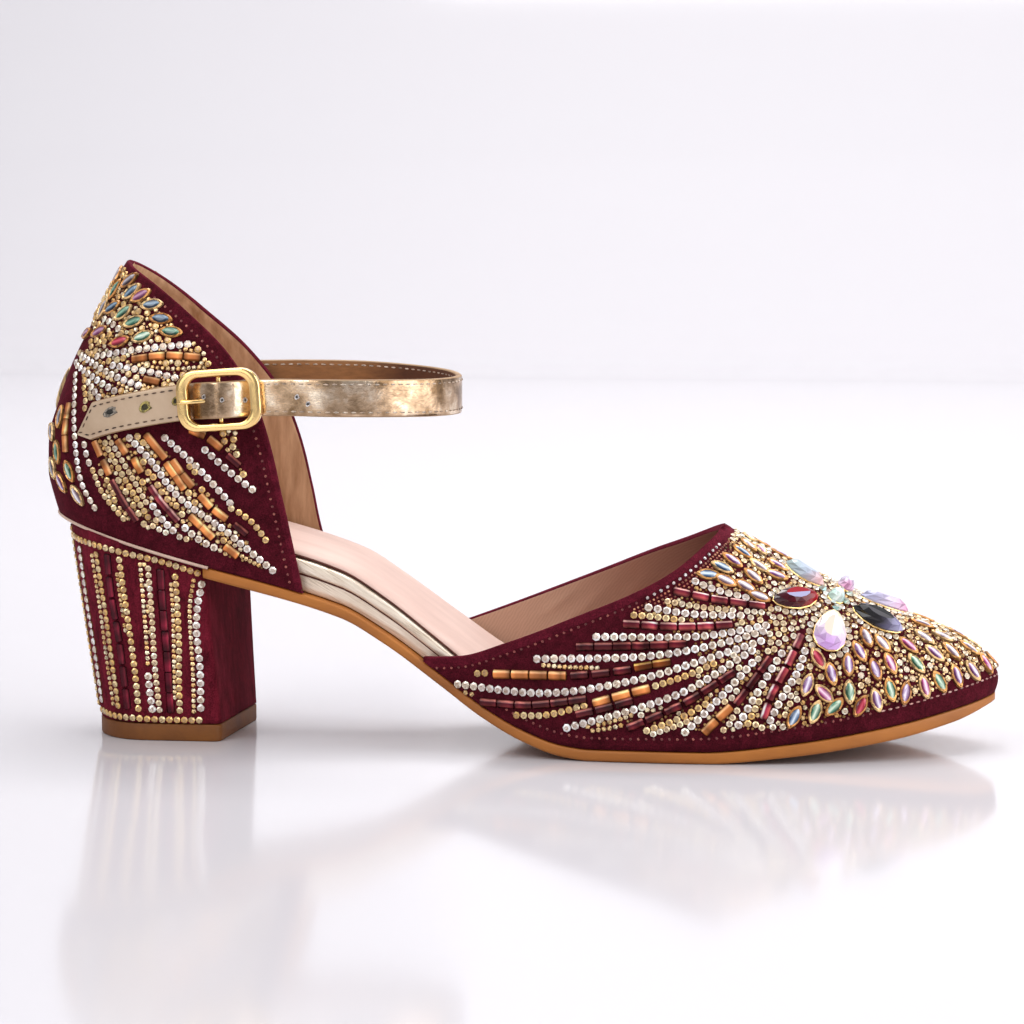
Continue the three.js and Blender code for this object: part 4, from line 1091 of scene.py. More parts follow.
# Colours of each kind of bead and stone
PALETTE = {
    "silver": [(1.0, 0.92, 0.87), (0.9, 0.82, 0.77), (1.0, 0.88, 0.74)],
    "cream": [(1.0, 0.8, 0.52), (0.95, 0.7, 0.4), (1.0, 0.88, 0.7)],
    "gold": [(0.9, 0.6, 0.24), (0.82, 0.5, 0.17), (0.95, 0.74, 0.4)],
    "seed": [(0.95, 0.63, 0.29), (0.8, 0.46, 0.16), (1.0, 0.8, 0.52)],
    "grain": [(0.42, 0.21, 0.065), (0.22, 0.095, 0.028), (0.6, 0.36, 0.14)],
    "halo": [(0.98, 0.86, 0.68), (0.92, 0.76, 0.54), (0.98, 0.93, 0.86)],
    "mint": [(0.56, 0.78, 0.7), (0.82, 0.88, 0.84), (0.42, 0.64, 0.62)],
    "pin": [(0.28, 0.06, 0.055), (0.4, 0.11, 0.085), (0.2, 0.04, 0.04)],
    # Pale dots: real pearls on the topline, painted glints round the strap's small holes
    "pearl": [(0.82, 0.76, 0.74), (0.7, 0.6, 0.58), (0.86, 0.82, 0.82)],
    "copper_pin": [(0.42, 0.13, 0.07), (0.3, 0.08, 0.05), (0.56, 0.24, 0.13)],
    "dash": [(0.5, 0.25, 0.22), (0.4, 0.18, 0.16), (0.58, 0.34, 0.3)],
    "stitch": [(0.62, 0.47, 0.36), (0.5, 0.36, 0.26), (0.7, 0.58, 0.47)],
    "dark_stitch": [(0.15, 0.085, 0.05), (0.22, 0.13, 0.08), (0.1, 0.055, 0.035)],
    "eyelet": [(0.42, 0.34, 0.1), (0.52, 0.42, 0.18), (0.3, 0.23, 0.07)],
    "eyelet_grey": [(0.3, 0.26, 0.21), (0.42, 0.37, 0.31), (0.2, 0.17, 0.13)],
    # Navette glass, from blue to plum: plain colour, a painted bright streak and a painted deep shade at the
    # edges
    "blue": [(0.08, 0.16, 0.29), (0.66, 0.74, 0.84), (0.02, 0.035, 0.08)],
    "violet": [(0.27, 0.11, 0.31), (0.84, 0.77, 0.88), (0.09, 0.02, 0.08)],
    "green": [(0.07, 0.25, 0.16), (0.7, 0.8, 0.64), (0.025, 0.07, 0.04)],
    "clear": [(0.43, 0.35, 0.41), (0.95, 0.91, 0.93), (0.13, 0.07, 0.095)],
    "blush": [(0.45, 0.06, 0.25), (0.88, 0.65, 0.77), (0.12, 0.012, 0.042)],
    "ruby": [(0.3, 0.008, 0.03), (0.62, 0.1, 0.14), (0.1, 0.003, 0.01)],
    "night": [(0.028, 0.055, 0.1), (0.24, 0.34, 0.44), (0.01, 0.014, 0.03)],
    "moss": [(0.03, 0.13, 0.085), (0.28, 0.46, 0.34), (0.01, 0.03, 0.017)],
    "smoke": [(0.17, 0.14, 0.16), (0.5, 0.46, 0.49), (0.05, 0.035, 0.045)],
    "plum": [(0.2, 0.035, 0.13), (0.52, 0.3, 0.42), (0.07, 0.012, 0.04)],
    "rim": [(0.85, 0.42, 0.13), (0.66, 0.29, 0.08), (0.96, 0.62, 0.28)],
}

# Glass of the navettes across the stone: where the painted deep shade, the plain colour and the painted
# bright streak lie
GLASS_STOPS = (-0.3, -0.14, -0.04, 0.05, 0.16, 0.3)

# Bugle beads: colours over the section from the high edge to the low edge, painted light and shade: a
# highlight near the high edge and dark edges
BUGLES = {
    "garnet": [(0.03, 0.004, 0.006), (0.34, 0.1, 0.08), (0.05, 0.003, 0.009), (0.1, 0.012, 0.014),
               (0.008, 0.001, 0.002)],
    "rose": [(0.1, 0.012, 0.018), (0.92, 0.5, 0.44), (0.15, 0.007, 0.03), (0.3, 0.05, 0.05),
             (0.02, 0.002, 0.004)],
    "copper": [(0.16, 0.055, 0.016), (0.84, 0.44, 0.2), (0.56, 0.19, 0.055), (0.44, 0.14, 0.04),
               (0.04, 0.012, 0.004)],
    "amber": [(0.14, 0.06, 0.012), (0.7, 0.38, 0.09), (0.2, 0.045, 0.01), (0.2, 0.05, 0.013),
              (0.03, 0.007, 0.002)],
    "wine": [(0.02, 0.001, 0.003), (0.2, 0.014, 0.03), (0.1, 0.005, 0.015), (0.07, 0.003, 0.01),
             (0.008, 0.001, 0.002)],
}
BUGLE_SECTION = np.array([(0.5, -0.4), (0.5, 0.16), (0.35, 0.4), (0.14, 0.5), (-0.28, 0.44), (-0.5, 0.1),
                          (-0.5, -0.4)])
BUGLE_SHADES = [0, 0, 1, 2, 3, 4, 4]
# Stations along a bugle bead: place, scale of its section and share of its colour, which is painted shade at
# the dark ends
BUGLE_STATIONS = table("along scale tone", (-0.5, 0.6, 0.1), (-0.45, 1, 0.8), (-0.18, 1, 1), (0.2, 1, 1),
                       (0.45, 1, 0.8), (0.5, 0.6, 0.1))

# Shares of the colour that are drawn for the stations of a bugle bead and for the facets of the others:
# painted flashes, glints and dark facets
FLASH = np.array([0.45, 0.75, 1.0, 1.3, 2.2])
GLINT = np.array([1.1, 1.0, 0.9, 0.6, 0.3])

# Share of the colour on each band of a bead from its wall up, painted shade and highlight, and the colours of
# a strass's wall and of the painted reflection of its setting in its dark facets
BAND_PAINTED_SHADING = {
    "strass": np.array([0.5, 1.2, 0.42]),
    "seed": np.array([0.5, 0.95, 1.05]),
    "grain": np.array([0.8, 1.1]),
    "rim": np.array([0.45, 1.0, 1.1, 0.35]),
    "eyelet": np.array([0.7, 1.0, 0.45, 0.1]),
}
STRASS_SETTING = np.array([0.3, 0.16, 0.06])
STRASS_DARK_REFLECTION = np.array([0.3, 0.18, 0.11])
NAVETTE_SIDES = 14
NAVETTE_PINCH = 0.35


def prism(rings):
    """A body through rings of equal count: points, triangles, and the band and the spot round it of each."""
    count, last = len(rings[0]), len(rings) - 1
    faces, bands, spots = [], [], []
    for i in range(last):
        for j in range(count):
            a, b = i * count + j, i * count + (j + 1) % count
            faces += [(a, b, b + count), (a, b + count, a + count)]
            bands += [i, i]
            spots += [j, j]
    top = last * count
    for j in range(1, count - 1):
        faces += [(top, top + j, top + j + 1), (0, j + 1, j)]
        bands += [last, -1]
        spots += [j, j]
    return np.vstack(rings), np.array(faces), np.array(bands), np.array(spots)


def ring(count, radius, level, turn=0.0):
    angle = (np.arange(count) + turn) / count * 2 * math.pi
    return np.stack([radius * np.cos(angle), radius * np.sin(angle), np.full(count, level)], -1)


def leaf(scale, level):
    """A navette outline of unit length and width."""
    angle = np.arange(NAVETTE_SIDES) / NAVETTE_SIDES * 2 * math.pi
    wide = np.sin(angle) * np.abs(np.sin(angle)) ** NAVETTE_PINCH
    return np.stack([0.5 * scale * np.cos(angle), 0.5 * scale * wide, np.full(NAVETTE_SIDES, level)], -1)


def bar_ring(along, scale):
    """Section of a cut bugle bead at a share of its length."""
    return np.column_stack([np.full(len(BUGLE_SECTION), along), BUGLE_SECTION * scale])


# Shapes of beads and stones of unit size; an eyelet's rings are crumpled
CRUMPLE = rng.uniform(0.75, 1.2, (12, 1)) * (1, 1, 0) + (0, 0, 1)
SHAPES = {
    "strass": prism([ring(7, 0.46, -0.25), ring(7, 0.5, 0.2), ring(7, 0.27, 0.5, 0.5)]),
    "seed": prism([ring(5, 0.46, -0.25), ring(5, 0.5, 0.15), ring(5, 0.3, 0.5, 0.5)]),
    "grain": prism([ring(5, 0.5, -0.2), ring(5, 0.36, 0.5, 0.5)]),
    "bugle": prism(list(map(bar_ring, BUGLE_STATIONS["along"], BUGLE_STATIONS["scale"]))),
    "rim": prism([leaf(1, -0.3), leaf(1, 0.34), leaf(0.87, 0.56), leaf(0.68, 0.4)]),
    "leaf": prism([leaf(0.72, 0.1), leaf(0.7, 0.3), leaf(0.46, 0.46)]),
    "eyelet": prism([ring(12, 0.5, -0.1) * CRUMPLE, ring(12, 0.42, 0.4, 0.5) * CRUMPLE,
                     ring(12, 0.3, 0.34) * CRUMPLE, ring(12, 0.24, 0.1, 0.5)]),
}

# Sizes of each kind of bead on its row: shape, length, width, height and pitch
KINDS = {
    "garnet": ("bugle", 4.8, 2.2, 1.8, 5.0),
    "rose": ("bugle", 4.4, 2.2, 1.8, 4.6),
    "copper": ("bugle", 4.8, 2.4, 1.9, 5.0),
    "amber": ("bugle", 4.8, 2.1, 1.7, 5.0),
    "wine": ("bugle", 5.7, 2.2, 1.5, 5.8),
    "silver": ("strass", 2.15, 2.15, 1.5, 2.26),
    "halo": ("strass", 1.95, 1.95, 1.5, 2.05),
    "cream": ("strass", 1.75, 1.75, 1.3, 1.84),
    "gold": ("strass", 1.9, 1.9, 1.4, 2.0),
    "seed": ("seed", 1.35, 1.35, 1.0, 1.42),
    "grain": ("grain", 0.95, 0.95, 0.6, 1.05),
    "mint": ("strass", 2.5, 2.2, 2.6, 2.6),
    "pearl": ("seed", 0.95, 0.95, 0.6, 1.9),
    "pin": ("seed", 0.8, 0.8, 0.4, 2.0),
    "copper_pin": ("grain", 0.8, 0.8, 0.5, 1.1),
    "dash": ("seed", 1.3, 0.55, 0.4, 2.0),
    "stitch": ("seed", 1.5, 0.45, 0.35, 2.2),
    "dark_stitch": ("seed", 1.5, 0.45, 0.35, 2.2),
}
FINISH_OF = {"bugle": "bugles", "rim": "settings", "leaf": "stones", "seed": "seeds", "grain": "seeds"}
SEWN_DOTS = ("pearl", "pin", "copper_pin", "dash", "stitch", "dark_stitch", "eyelet", "eyelet_grey")
FINISHES = {
    "strass": (strass_finish, "pale_stone"),
    "seeds": (strass_finish, "gold_metal"),
    "bugles": (bugle_finish, "garnet_stone"),
    "settings": (setting_finish, "gold_metal"),
    "stones": (stone_finish, "pale_stone"),
    "dots": (pin_finish, "pale_stone"),
}

# Room that a bead keeps clear as a share of the radii, and the spots along a long one that keep it
NEIGHBOUR_SHARE = 0.74
BUGLE_SPOTS = (-0.36, 0, 0.36)
NAVETTE_SPOTS = (-0.28, 0, 0.28)
NAVETTE_ROOM = 0.45

# Size of a navette, the lift of its glass in the setting, and the points of its axis: tried and needed
NAVETTE_LENGTH = 6.5
NAVETTE_WIDTH = 3.2
NAVETTE_HEIGHT = 1.6
NAVETTE_LIFT = 0.25
NAVETTE_SAMPLES = 9
NAVETTE_SEEN = 5


def spread_colours(places, stops, colours):
    """Colours at places along stops."""
    return np.stack([np.interp(places, stops, channel) for channel in np.transpose(colours)], -1)


def bugle_tints(colour, count):
    """Painted highlight and shade over the section of a bugle bead, with painted flashes along it."""
    station, spot = np.divmod(SHAPES["bugle"][1], len(BUGLE_SECTION))
    glass = np.array(BUGLES[colour])[BUGLE_SHADES]
    flash = rng.choice(FLASH, (count, len(BUGLE_STATIONS["tone"]))) * BUGLE_STATIONS["tone"]
    return glass[spot] * flash[:, station][..., None]


def glass_tints(colour, count):
    """Glass of a navette: a painted bright streak along it between flanks with painted shade that deepens to
    the edge.
    """
    points, faces = SHAPES["leaf"][:2]
    plain, bright, deep = PALETTE[colour]
    side = rng.choice((-1, 1), (count, 1, 1))
    across = points[faces][..., 1] * side + rng.uniform(0.02, 0.12, (count, 1, 1))
    return spread_colours(across, GLASS_STOPS, (deep, plain, bright, bright, plain, deep))


def corner_tints(shape, colour, count):
    """Tints of the three corners of each facet, for each copy of a shape: colour with painted glints,
    highlights and shade.
    """
    if shape == "bugle":
        return np.clip(bugle_tints(colour, count), 0, 1)
    if shape == "leaf":
        return np.clip(glass_tints(colour, count), 0, 1)
    bands = SHAPES[shape][2]
    shades = np.array(PALETTE[colour])
    spark = rng.choice(GLINT, (count, len(bands)))[..., None] * BAND_PAINTED_SHADING[shape][bands][None, :, None]
    base = shades[rng.integers(0, len(shades), count)][:, None] * rng.uniform(0.8, 1.1, (count, 1, 1))
    tints = base * spark
    if shape == "strass":
        # Dark facets of a strass blend into a painted reflection of its gold setting
        tints = blend(STRASS_DARK_REFLECTION, base, np.clip(spark, 0, 1.1))
        tints[:, bands == 0] = STRASS_SETTING
    return np.clip(tints, 0, 1)[:, :, None].repeat(3, 2)


def set_tints(made, tints):
    """Corner tints of a mesh of triangles."""
    layer = made.data.attributes.new("tint", "FLOAT_COLOR", "CORNER")
    flat = tints.reshape(-1, 3)
    opaque = np.column_stack([flat, np.ones(len(flat))]).astype(np.float32)
    layer.data.foreach_set("color", opaque.reshape(-1))


class Trimming:
    """Beads and stones sewn on one surface, gathered by finish into joined pieces."""

    def __init__(self, name, walls, inside):
        self.name = name
        self.inside = inside
        counts = np.cumsum([0] + [wall.shape[0] * wall.shape[1] for wall in walls])
        points = np.vstack([wall.reshape(-1, 3) for wall in walls])
        faces = np.vstack([quads_of(wall, first).reshape(-1, 4) for wall, first in zip(walls, counts)])
        self.tree = BVHTree.FromPolygons(points.tolist(), faces.tolist())
        self.places = np.zeros((0, 3))
        self.radii = np.zeros(0)
        self.sewn = {finish: [] for finish in FINISHES}

    def seen(self, pixels, count=160):
        """The line on the surface that lies behind a line through pixels of the photograph."""
        return self.seen_spots(spline(pixels, count))

    def seen_spots(self, pixels):
        """The places on the surface that lie behind pixels of the photograph."""
        across, down = (np.array(pixels, float) - PHOTO_SIDE / 2).T[..., None] / view_focal
        rays = unit(view_right * across - view_up * down - view_back)
        hits = [self.tree.ray_cast(Vector(view_eye), Vector(ray))[0] for ray in rays]
        return np.array([hit for hit in hits if hit is not None])

    def grounded(self, points):
        """Nearest places on the surface, and the normals there that point outward."""
        found = [self.tree.find_nearest(Vector(point))[:2] for point in points]
        places = np.array([place for place, _ in found])
        normals = np.array([normal for _, normal in found])
        outward = np.sign(((places - self.inside) * normals).sum(1))
        return places, normals * np.where(outward == 0, 1, outward)[:, None]

    def mirrored(self, points):
        """The same places on the other side of the foot."""
        return self.grounded(points * (1, -1, 1))[0]

    def free(self, points, radius, share=NEIGHBOUR_SHARE):
        """Which places are clear of the beads already sewn."""
        if not len(self.places):
            return np.ones(len(points), bool)
        reach = (radius + self.radii) * share
        gaps = (np.linalg.norm(self.places - point, axis=1) for point in points)
        return np.array([(gap > reach).all() for gap in gaps], bool)

    def take(self, points, radius):
        self.places = np.vstack([self.places, points])
        self.radii = np.append(self.radii, np.full(len(points), radius))

    def sew(self, shape, colour, places, normals, along, size, lift=0.0):
        """Copies of a shape on the surface, each facet with its tint."""
        if not len(places):
            return
        points, faces = SHAPES[shape][:2]
        along = unit(along - normals * (along * normals).sum(1, keepdims=True))
        across = np.cross(normals, along)
        length, width, height = size
        every = (places[:, None] + along[:, None] * points[None, :, :1] * length
                 + across[:, None] * points[None, :, 1:2] * width
                 + normals[:, None] * (points[None, :, 2:] * height + lift))
        step = np.arange(len(places))[:, None, None] * len(points)
        tints = corner_tints(shape, colour, len(places))
        finish = "dots" if colour in SEWN_DOTS else FINISH_OF.get(shape, "strass")
        triangles = (faces[None] + step).reshape(-1, 3)
        self.sewn[finish].append((every.reshape(-1, 3), triangles, tints.reshape(-1, 3, 3)))

    def row(self, kind, line, scale=1.0):
        """Beads of one kind along a line, left out where another bead already lies."""
        if len(line) < 2:
            return
        shape, *sizes = KINDS[kind]
        length, width, height, pitch = (value * scale for value in sizes)
        total = np.linalg.norm(np.diff(line, axis=0), axis=1).sum()
        count = max(round(total / pitch), 1)
        cells = evenly(line, 2 * count + 1)
        along = cells[2::2] - cells[:-2:2]
        places, normals = self.grounded(cells[1::2])
        shares = BUGLE_SPOTS if shape == "bugle" else (0,)
        spots = [places + unit(along) * length * share for share in shares]
        keep = np.all([self.free(spot, width / 2) for spot in spots], axis=0)
        self.sew(shape, kind, places[keep], normals[keep], along[keep], (length, width, height))
        for spot in spots:
            self.take(spot[keep], width / 2)

    def charted_rows(self, rows, far_side, scale=1.0):
        """Rows charted on the photograph and their copies on the far side, large beads before small ones."""
        order = list(KINDS)
        for kind, *pixels in sorted(rows, key=lambda row: order.index(row[0])):
            line = self.seen(pixels)
            self.row(kind, line, scale)
            self.row(kind, far_side(line), scale)

    def navette(self, line, colour, length=NAVETTE_LENGTH, width=NAVETTE_WIDTH):
        """A stone in a gold setting with its long axis along a short line."""
        places, normals = self.grounded(line.mean(0)[None])
        along = (line[-1] - line[0])[None]
        size = (length, width, NAVETTE_HEIGHT)
        self.sew("rim", "rim", places, normals, along, size)
        self.sew("leaf", colour, places, normals, along, size, NAVETTE_LIFT)
        for share in NAVETTE_SPOTS:
            self.take(places + unit(along) * length * share, width * NAVETTE_ROOM)

    def scatter(self, points, kind, share):
        """Single small beads wherever a place is still free."""
        shape, *size, _ = KINDS[kind]
        radius = size[0] / 2
        points = points[self.free(points, radius, share)]
        kept = np.zeros((0, 3))
        for point in points:
            if (np.linalg.norm(kept - point, axis=1) > 2 * radius * share).all():
                kept = np.vstack([kept, point])
        if not len(kept):
            return
        places, normals = self.grounded(kept)
        self.sew(shape, kind, places, normals, rng.normal(size=places.shape), size)
        self.take(places, radius)

    def finish(self):
        """One joined piece for each finish."""
        for finish, parts in self.sewn.items():
            if not parts:
                continue
            skin = Skin()
            for points, faces, _ in parts:
                skin.bodies(points, faces)
            paint_of, slot = FINISHES[finish]
            made = skin.piece(f"{self.name}_{finish}", [paint_of], smooth=False, weld=False)
            set_tints(made, np.vstack([tints for _, _, tints in parts]))


def to_photo(points):
    """Pixels of the photograph where points lie."""
    away = np.asarray(points) - view_eye
    depth = away @ -view_back
    return np.stack([PHOTO_SIDE / 2 + view_focal * (away @ view_right) / depth,
                     PHOTO_SIDE / 2 - view_focal * (away @ view_up) / depth], -1)


def within(pixels, corners):
    """Which pixels lie inside a polygon."""
    corners = np.array(corners, float)
    inside = np.zeros(len(pixels), bool)
    for (x0, y0), (x1, y1) in zip(corners, np.roll(corners, -1, 0)):
        crosses = (y0 > pixels[:, 1]) != (y1 > pixels[:, 1])
        reach = x0 + (pixels[:, 1] - y0) * (x1 - x0) / np.where(y1 == y0, 1e-9, y1 - y0)
        inside ^= crosses & (pixels[:, 0] < reach)
    return inside


def tilted(pixel, tilt, length):
    """Two pixels either side of one, along a tilt."""
    step = np.array([math.cos(math.radians(tilt)), -math.sin(math.radians(tilt))]) * length
    return [tuple(np.array(pixel) - step), tuple(np.array(pixel) + step)]


def edge_line(wall, edge, away):
    """The line on a wall at a distance from an edge, across columns that start nearest to it.
    The distance may change from column to column."""
    gaps = edge_distance(wall, edge)
    line = []
    for column, gap, reach in zip(wall, gaps, np.broadcast_to(away, len(wall))):
        past = int(np.argmax(gap > reach))
        if past:
            share = (reach - gap[past - 1]) / (gap[past] - gap[past - 1])
            line.append(blend(column[past - 1], column[past], share))
    return np.array(line)


# Rows of the vamp's fan: kind of bead and pixels of the photograph
VAMP_ROWS = [
    ("silver", (691, 580), (712, 589), (750, 599)),
    ("rose", (672, 591), (718, 600), (766, 607)),
    ("cream", (664, 601), (705, 608), (765, 613)),
    ("silver", (644, 607), (690, 614), (745, 616)),
    ("gold", (630, 615), (655, 617), (678, 620)),
    ("rose", (622, 624), (680, 627), (733, 625)),
    ("copper", (734, 624), (741, 623), (749, 622)),
    ("silver", (592, 637), (705, 636), (770, 625)),
    ("garnet", (576, 647), (640, 646), (687, 644)),
    ("cream", (692, 644), (725, 641), (765, 630)),
    ("silver", (533, 659), (650, 656), (715, 645), (775, 628)),
    ("seed", (541, 665), (565, 667), (600, 668)),
    ("gold", (474, 674), (481, 673), (489, 673)),
    ("copper", (493, 674), (530, 675), (567, 676)),
    ("garnet", (569, 676), (605, 673), (633, 669)),
    ("amber", (634, 668), (652, 665), (671, 662)),
    ("silver", (448, 683), (547, 693), (640, 679), (704, 660), (765, 640)),
    ("seed", (457, 690), (467, 693), (475, 695)),
    ("garnet", (480, 702), (530, 705), (587, 699)),
    ("gold", (652, 687), (688, 675), (724, 659)),
    ("cream", (730, 656), (745, 653), (758, 650)),
    ("gold", (513, 715), (545, 715), (588, 705)),
    ("copper", (592, 704), (620, 696), (651, 688)),
    ("garnet", (575, 715), (605, 708), (634, 700)),
    ("silver", (563, 729), (642, 707), (690, 689), (740, 658), (770, 640)),
    ("seed", (585, 727), (610, 722), (650, 709)),
    ("seed", (590, 731), (615, 727), (640, 719)),
    ("garnet", (626, 729), (683, 704), (736, 671)),
    ("gold", (643, 732), (680, 718), (723, 694)),
    ("cream", (650, 735), (688, 721), (728, 700)),
    ("silver", (682, 735), (712, 706), (735, 682), (755, 660)),
    ("copper", (703, 734), (718, 719), (732, 706)),
    ("garnet", (735, 706), (752, 683), (771, 657)),
    ("silver", (736, 729), (753, 700), (771, 670), (784, 650)),
    ("gold", (746, 727), (757, 705), (768, 684)),
    ("rose", (763, 721), (772, 694), (786, 668), (802, 634)),
    ("silver", (768, 724), (784, 694), (798, 671), (808, 640)),
]

# Navettes of the vamp: pixel of the photograph, tilt of the long axis there, colour
VAMP_NAVETTES = [
    (746, 537, -35, "clear"), (748, 546, -40, "clear"), (742, 553, -35, "blue"), (760, 551, -48, "blush"),
    (732, 561, -35, "violet"), (722, 568, -25, "blue"), (708, 575, -5, "blue"), (725, 581, -25, "clear"),
    (759, 567, -35, "clear"), (753, 577, -40, "clear"), (777, 566, -30, "violet"), (776, 576, -20, "violet"),
    (781, 556, -28, "violet"), (745, 587, -30, "clear"), (759, 597, -20, "clear"), (866, 638, -65, "clear"),
    (882, 644, -50, "clear"), (859, 652, -60, "violet"), (908, 646, -40, "blush"), (818, 659, -60, "ruby"),
    (848, 665, -85, "violet"), (875, 670, -70, "violet"), (890, 664, -65, "blush"), (831, 674, -75, "violet"),
    (807, 685, 72, "violet"), (824, 694, -45, "blush"), (849, 692, -86, "green"), (860, 706, 62, "ruby"),
    (834, 707, 45, "green"), (815, 712, 70, "green"), (794, 717, 62, "blue"), (876, 700, -75, "violet"),
    (890, 690, -75, "green"), (905, 693, 82, "violet"), (924, 687, -75, "blush"), (939, 682, -60, "green"),
    (956, 676, -70, "violet"), (972, 671, -55, "violet"), (985, 664, -60, "blush"), (916, 664, -50, "green"),
    (934, 654, -40, "violet"), (951, 652, -45, "clear"), (924, 638, -35, "clear"), (942, 637, -25, "clear"),
    (969, 649, -35, "clear"), (955, 634, -30, "violet"), (922, 625, -20, "clear"), (936, 624, -30, "violet"),
    (914, 615, -15, "violet"), (972, 639, -45, "clear"), (988, 653, -60, "violet"),
]
VAMP_NAVETTE_REACH = 8

# Corner pixels of the vamp's fields where small beads fill the velvet: at the flower and in the fan
TOE_FIELD = [(700, 572), (738, 528), (800, 552), (850, 574), (930, 606), (1000, 650), (996, 666), (900, 702),
             (800, 728), (806, 640), (770, 602)]
FAN_FIELD = [(690, 578), (770, 598), (800, 625), (806, 660), (792, 728), (640, 736), (590, 731), (690, 697),
             (700, 660), (694, 641), (640, 622), (650, 600)]
MINT_SPOTS = [(826, 595), (833, 602), (842, 591), (849, 596), (845, 603), (836, 609), (822, 590), (852, 589)]
FILL_TRIES = 16000
FILL_X = (BALL_X - 30, TOE_X - 1)
FILL_ANGLE = (0.1, math.pi / 2)
TOE_KINDS = [("cream", 1.15), ("seed", 0.98), ("grain", 0.8)]
FAN_KINDS = [("cream", 0.92), ("seed", 0.9), ("grain", 0.8)]
VAMP_INSIDE = np.array([190, 0, 15])

# Rows along the edges: how far from the edge they lie, and where along the shoe they run
EDGE_STEPS = 400
TOPLINE_DOTS = 2.5
THROAT_DOTS = 0.6
THROAT_MESH = (3.7, 4.7, 5.7)
THROAT_SEEDS = 7.0
THROAT_REACH = 160
FEATHER_DOTS = table("x away", (VAMP_REAR_X, 2.8), (150, 2.8), (210, 4.0), (TOE_X, 4.6))
LOW_DOTS_X = 124
DASHES_X = 222


def across_vamp(points):
    """The same places on the medial side of the vamp."""
    x = np.clip(points[:, 0], VAMP_REAR_X, TOE_X - 0.5)
    angle = np.arcsin(np.clip((points[:, 2] - feather(x) - FIT) / vamp_rise(x), 0, 1))
    return vamp_point(x, angle, "medial")


# The flower's stones over the ridge: middle, size, turn from the toe to the medial side, kind and colour
STONES = [
    (200.5, -20.5, 13.4, 6.6, 26, "navette", "garnet_gem"),
    (202.1, -9.1, 12, 6.2, -24, "navette", "grey_gem"),
    (212.4, -2.8, 9, 4.6, -84, "navette", "lilac_gem"),
    (222.4, -2.4, 14, 5.8, 19, "navette", "lilac_gem"),
    (221.2, -14.2, 14.4, 7.4, -15, "navette", "black_gem"),
    (209.7, -23.7, 13, 8.4, 83, "pear", "opal_gem"),
    (210.5, -13.5, 4.4, 4.4, 0, "round", "mint_gem"),
]
STONE_HEIGHT = 3
STONE_LIFT = 0.25
STONE_SIDES = 12
STONE_SPOTS = np.linspace(-0.42, 0.42, 7)
STONE_ROOM = 0.4
CUP_SHARE = 0.96
CUP_LEVEL = 0.2
CUP_RADIUS = 0.3
HALO_GAP = 1.05

# Rings of a cut stone: share of its outline and of its height; the third is turned by half a facet
STONE_SHARES = (0.94, 0.99, 0.84, 0.52)
STONE_LEVELS = (0, 0.3, 0.72, 1)
STONE_TABLE = 3

# Glints of the cut stones' facets, and places of the three colours along a stone
# The glints are painted: each facet's colour is scaled by one of them
GEM_GLINT = np.array([0.75, 0.9, 1.0, 1.1, 1.25])
GEM_STOPS = (0.15, 0.6, 0.92)

# Colours of the cut stones from one end to the other, partly their own and partly painted reflection and
# shade, and of the two halves of the table on top, which differ by a painted reflection
GEMS = {
    "garnet_gem": [(0.035, 0.002, 0.006), (0.1, 0.004, 0.01), (0.36, 0.012, 0.02),
                   (0.3, 0.01, 0.02), (0.34, 0.33, 0.5)],
    "grey_gem": [(0.33, 0.42, 0.42), (0.42, 0.47, 0.58), (0.66, 0.38, 0.38),
                 (0.56, 0.58, 0.62), (0.4, 0.45, 0.54)],
    "lilac_gem": [(0.36, 0.36, 0.52), (0.6, 0.5, 0.66), (0.55, 0.24, 0.4),
                  (0.68, 0.62, 0.72), (0.46, 0.42, 0.58)],
    "black_gem": [(0.006, 0.005, 0.006), (0.014, 0.012, 0.014), (0.26, 0.24, 0.4),
                  (0.01, 0.009, 0.01), (0.06, 0.055, 0.06)],
    "opal_gem": [(0.58, 0.34, 0.68), (0.8, 0.74, 0.72), (0.8, 0.66, 0.38),
                 (0.74, 0.6, 0.5), (0.86, 0.84, 0.78)],
    "mint_gem": [(0.48, 0.68, 0.62), (0.78, 0.86, 0.82), (0.42, 0.6, 0.58),
                 (0.84, 0.92, 0.88), (0.6, 0.78, 0.72)],
}


def stone_outline(kind, length, width):
    angle = np.arange(STONE_SIDES) / STONE_SIDES * 2 * math.pi
    c, s = np.cos(angle), np.sin(angle)
    pinch = {"round": np.ones(STONE_SIDES), "navette": np.abs(s) ** NAVETTE_PINCH, "pear": 1 - 0.3 * c}[kind]
    return np.stack([length / 2 * c, width / 2 * s * pinch], -1)


def stone_frame(x, y, turn):
    """Place and axes of a stone that sits on the vamp."""
    side = "lateral" if y < 0 else "medial"
    share = abs(y) / float(half_width(x, side))
    angle = math.acos(share ** (1 / SIDE_FULLNESS))
    spot = np.array([x], float), np.array([angle]), side
    place, normal = vamp_point(*spot)[0], vamp_normal(*spot)[0]
    to_toe = unit(np.array([1, 0, 0]) - normal * normal[0])
    across = np.cross(normal, to_toe)
    a = math.radians(turn)
    long_axis = to_toe * math.cos(a) + across * math.sin(a)
    short_axis = across * math.cos(a) - to_toe * math.sin(a)
    return place, long_axis, short_axis, normal


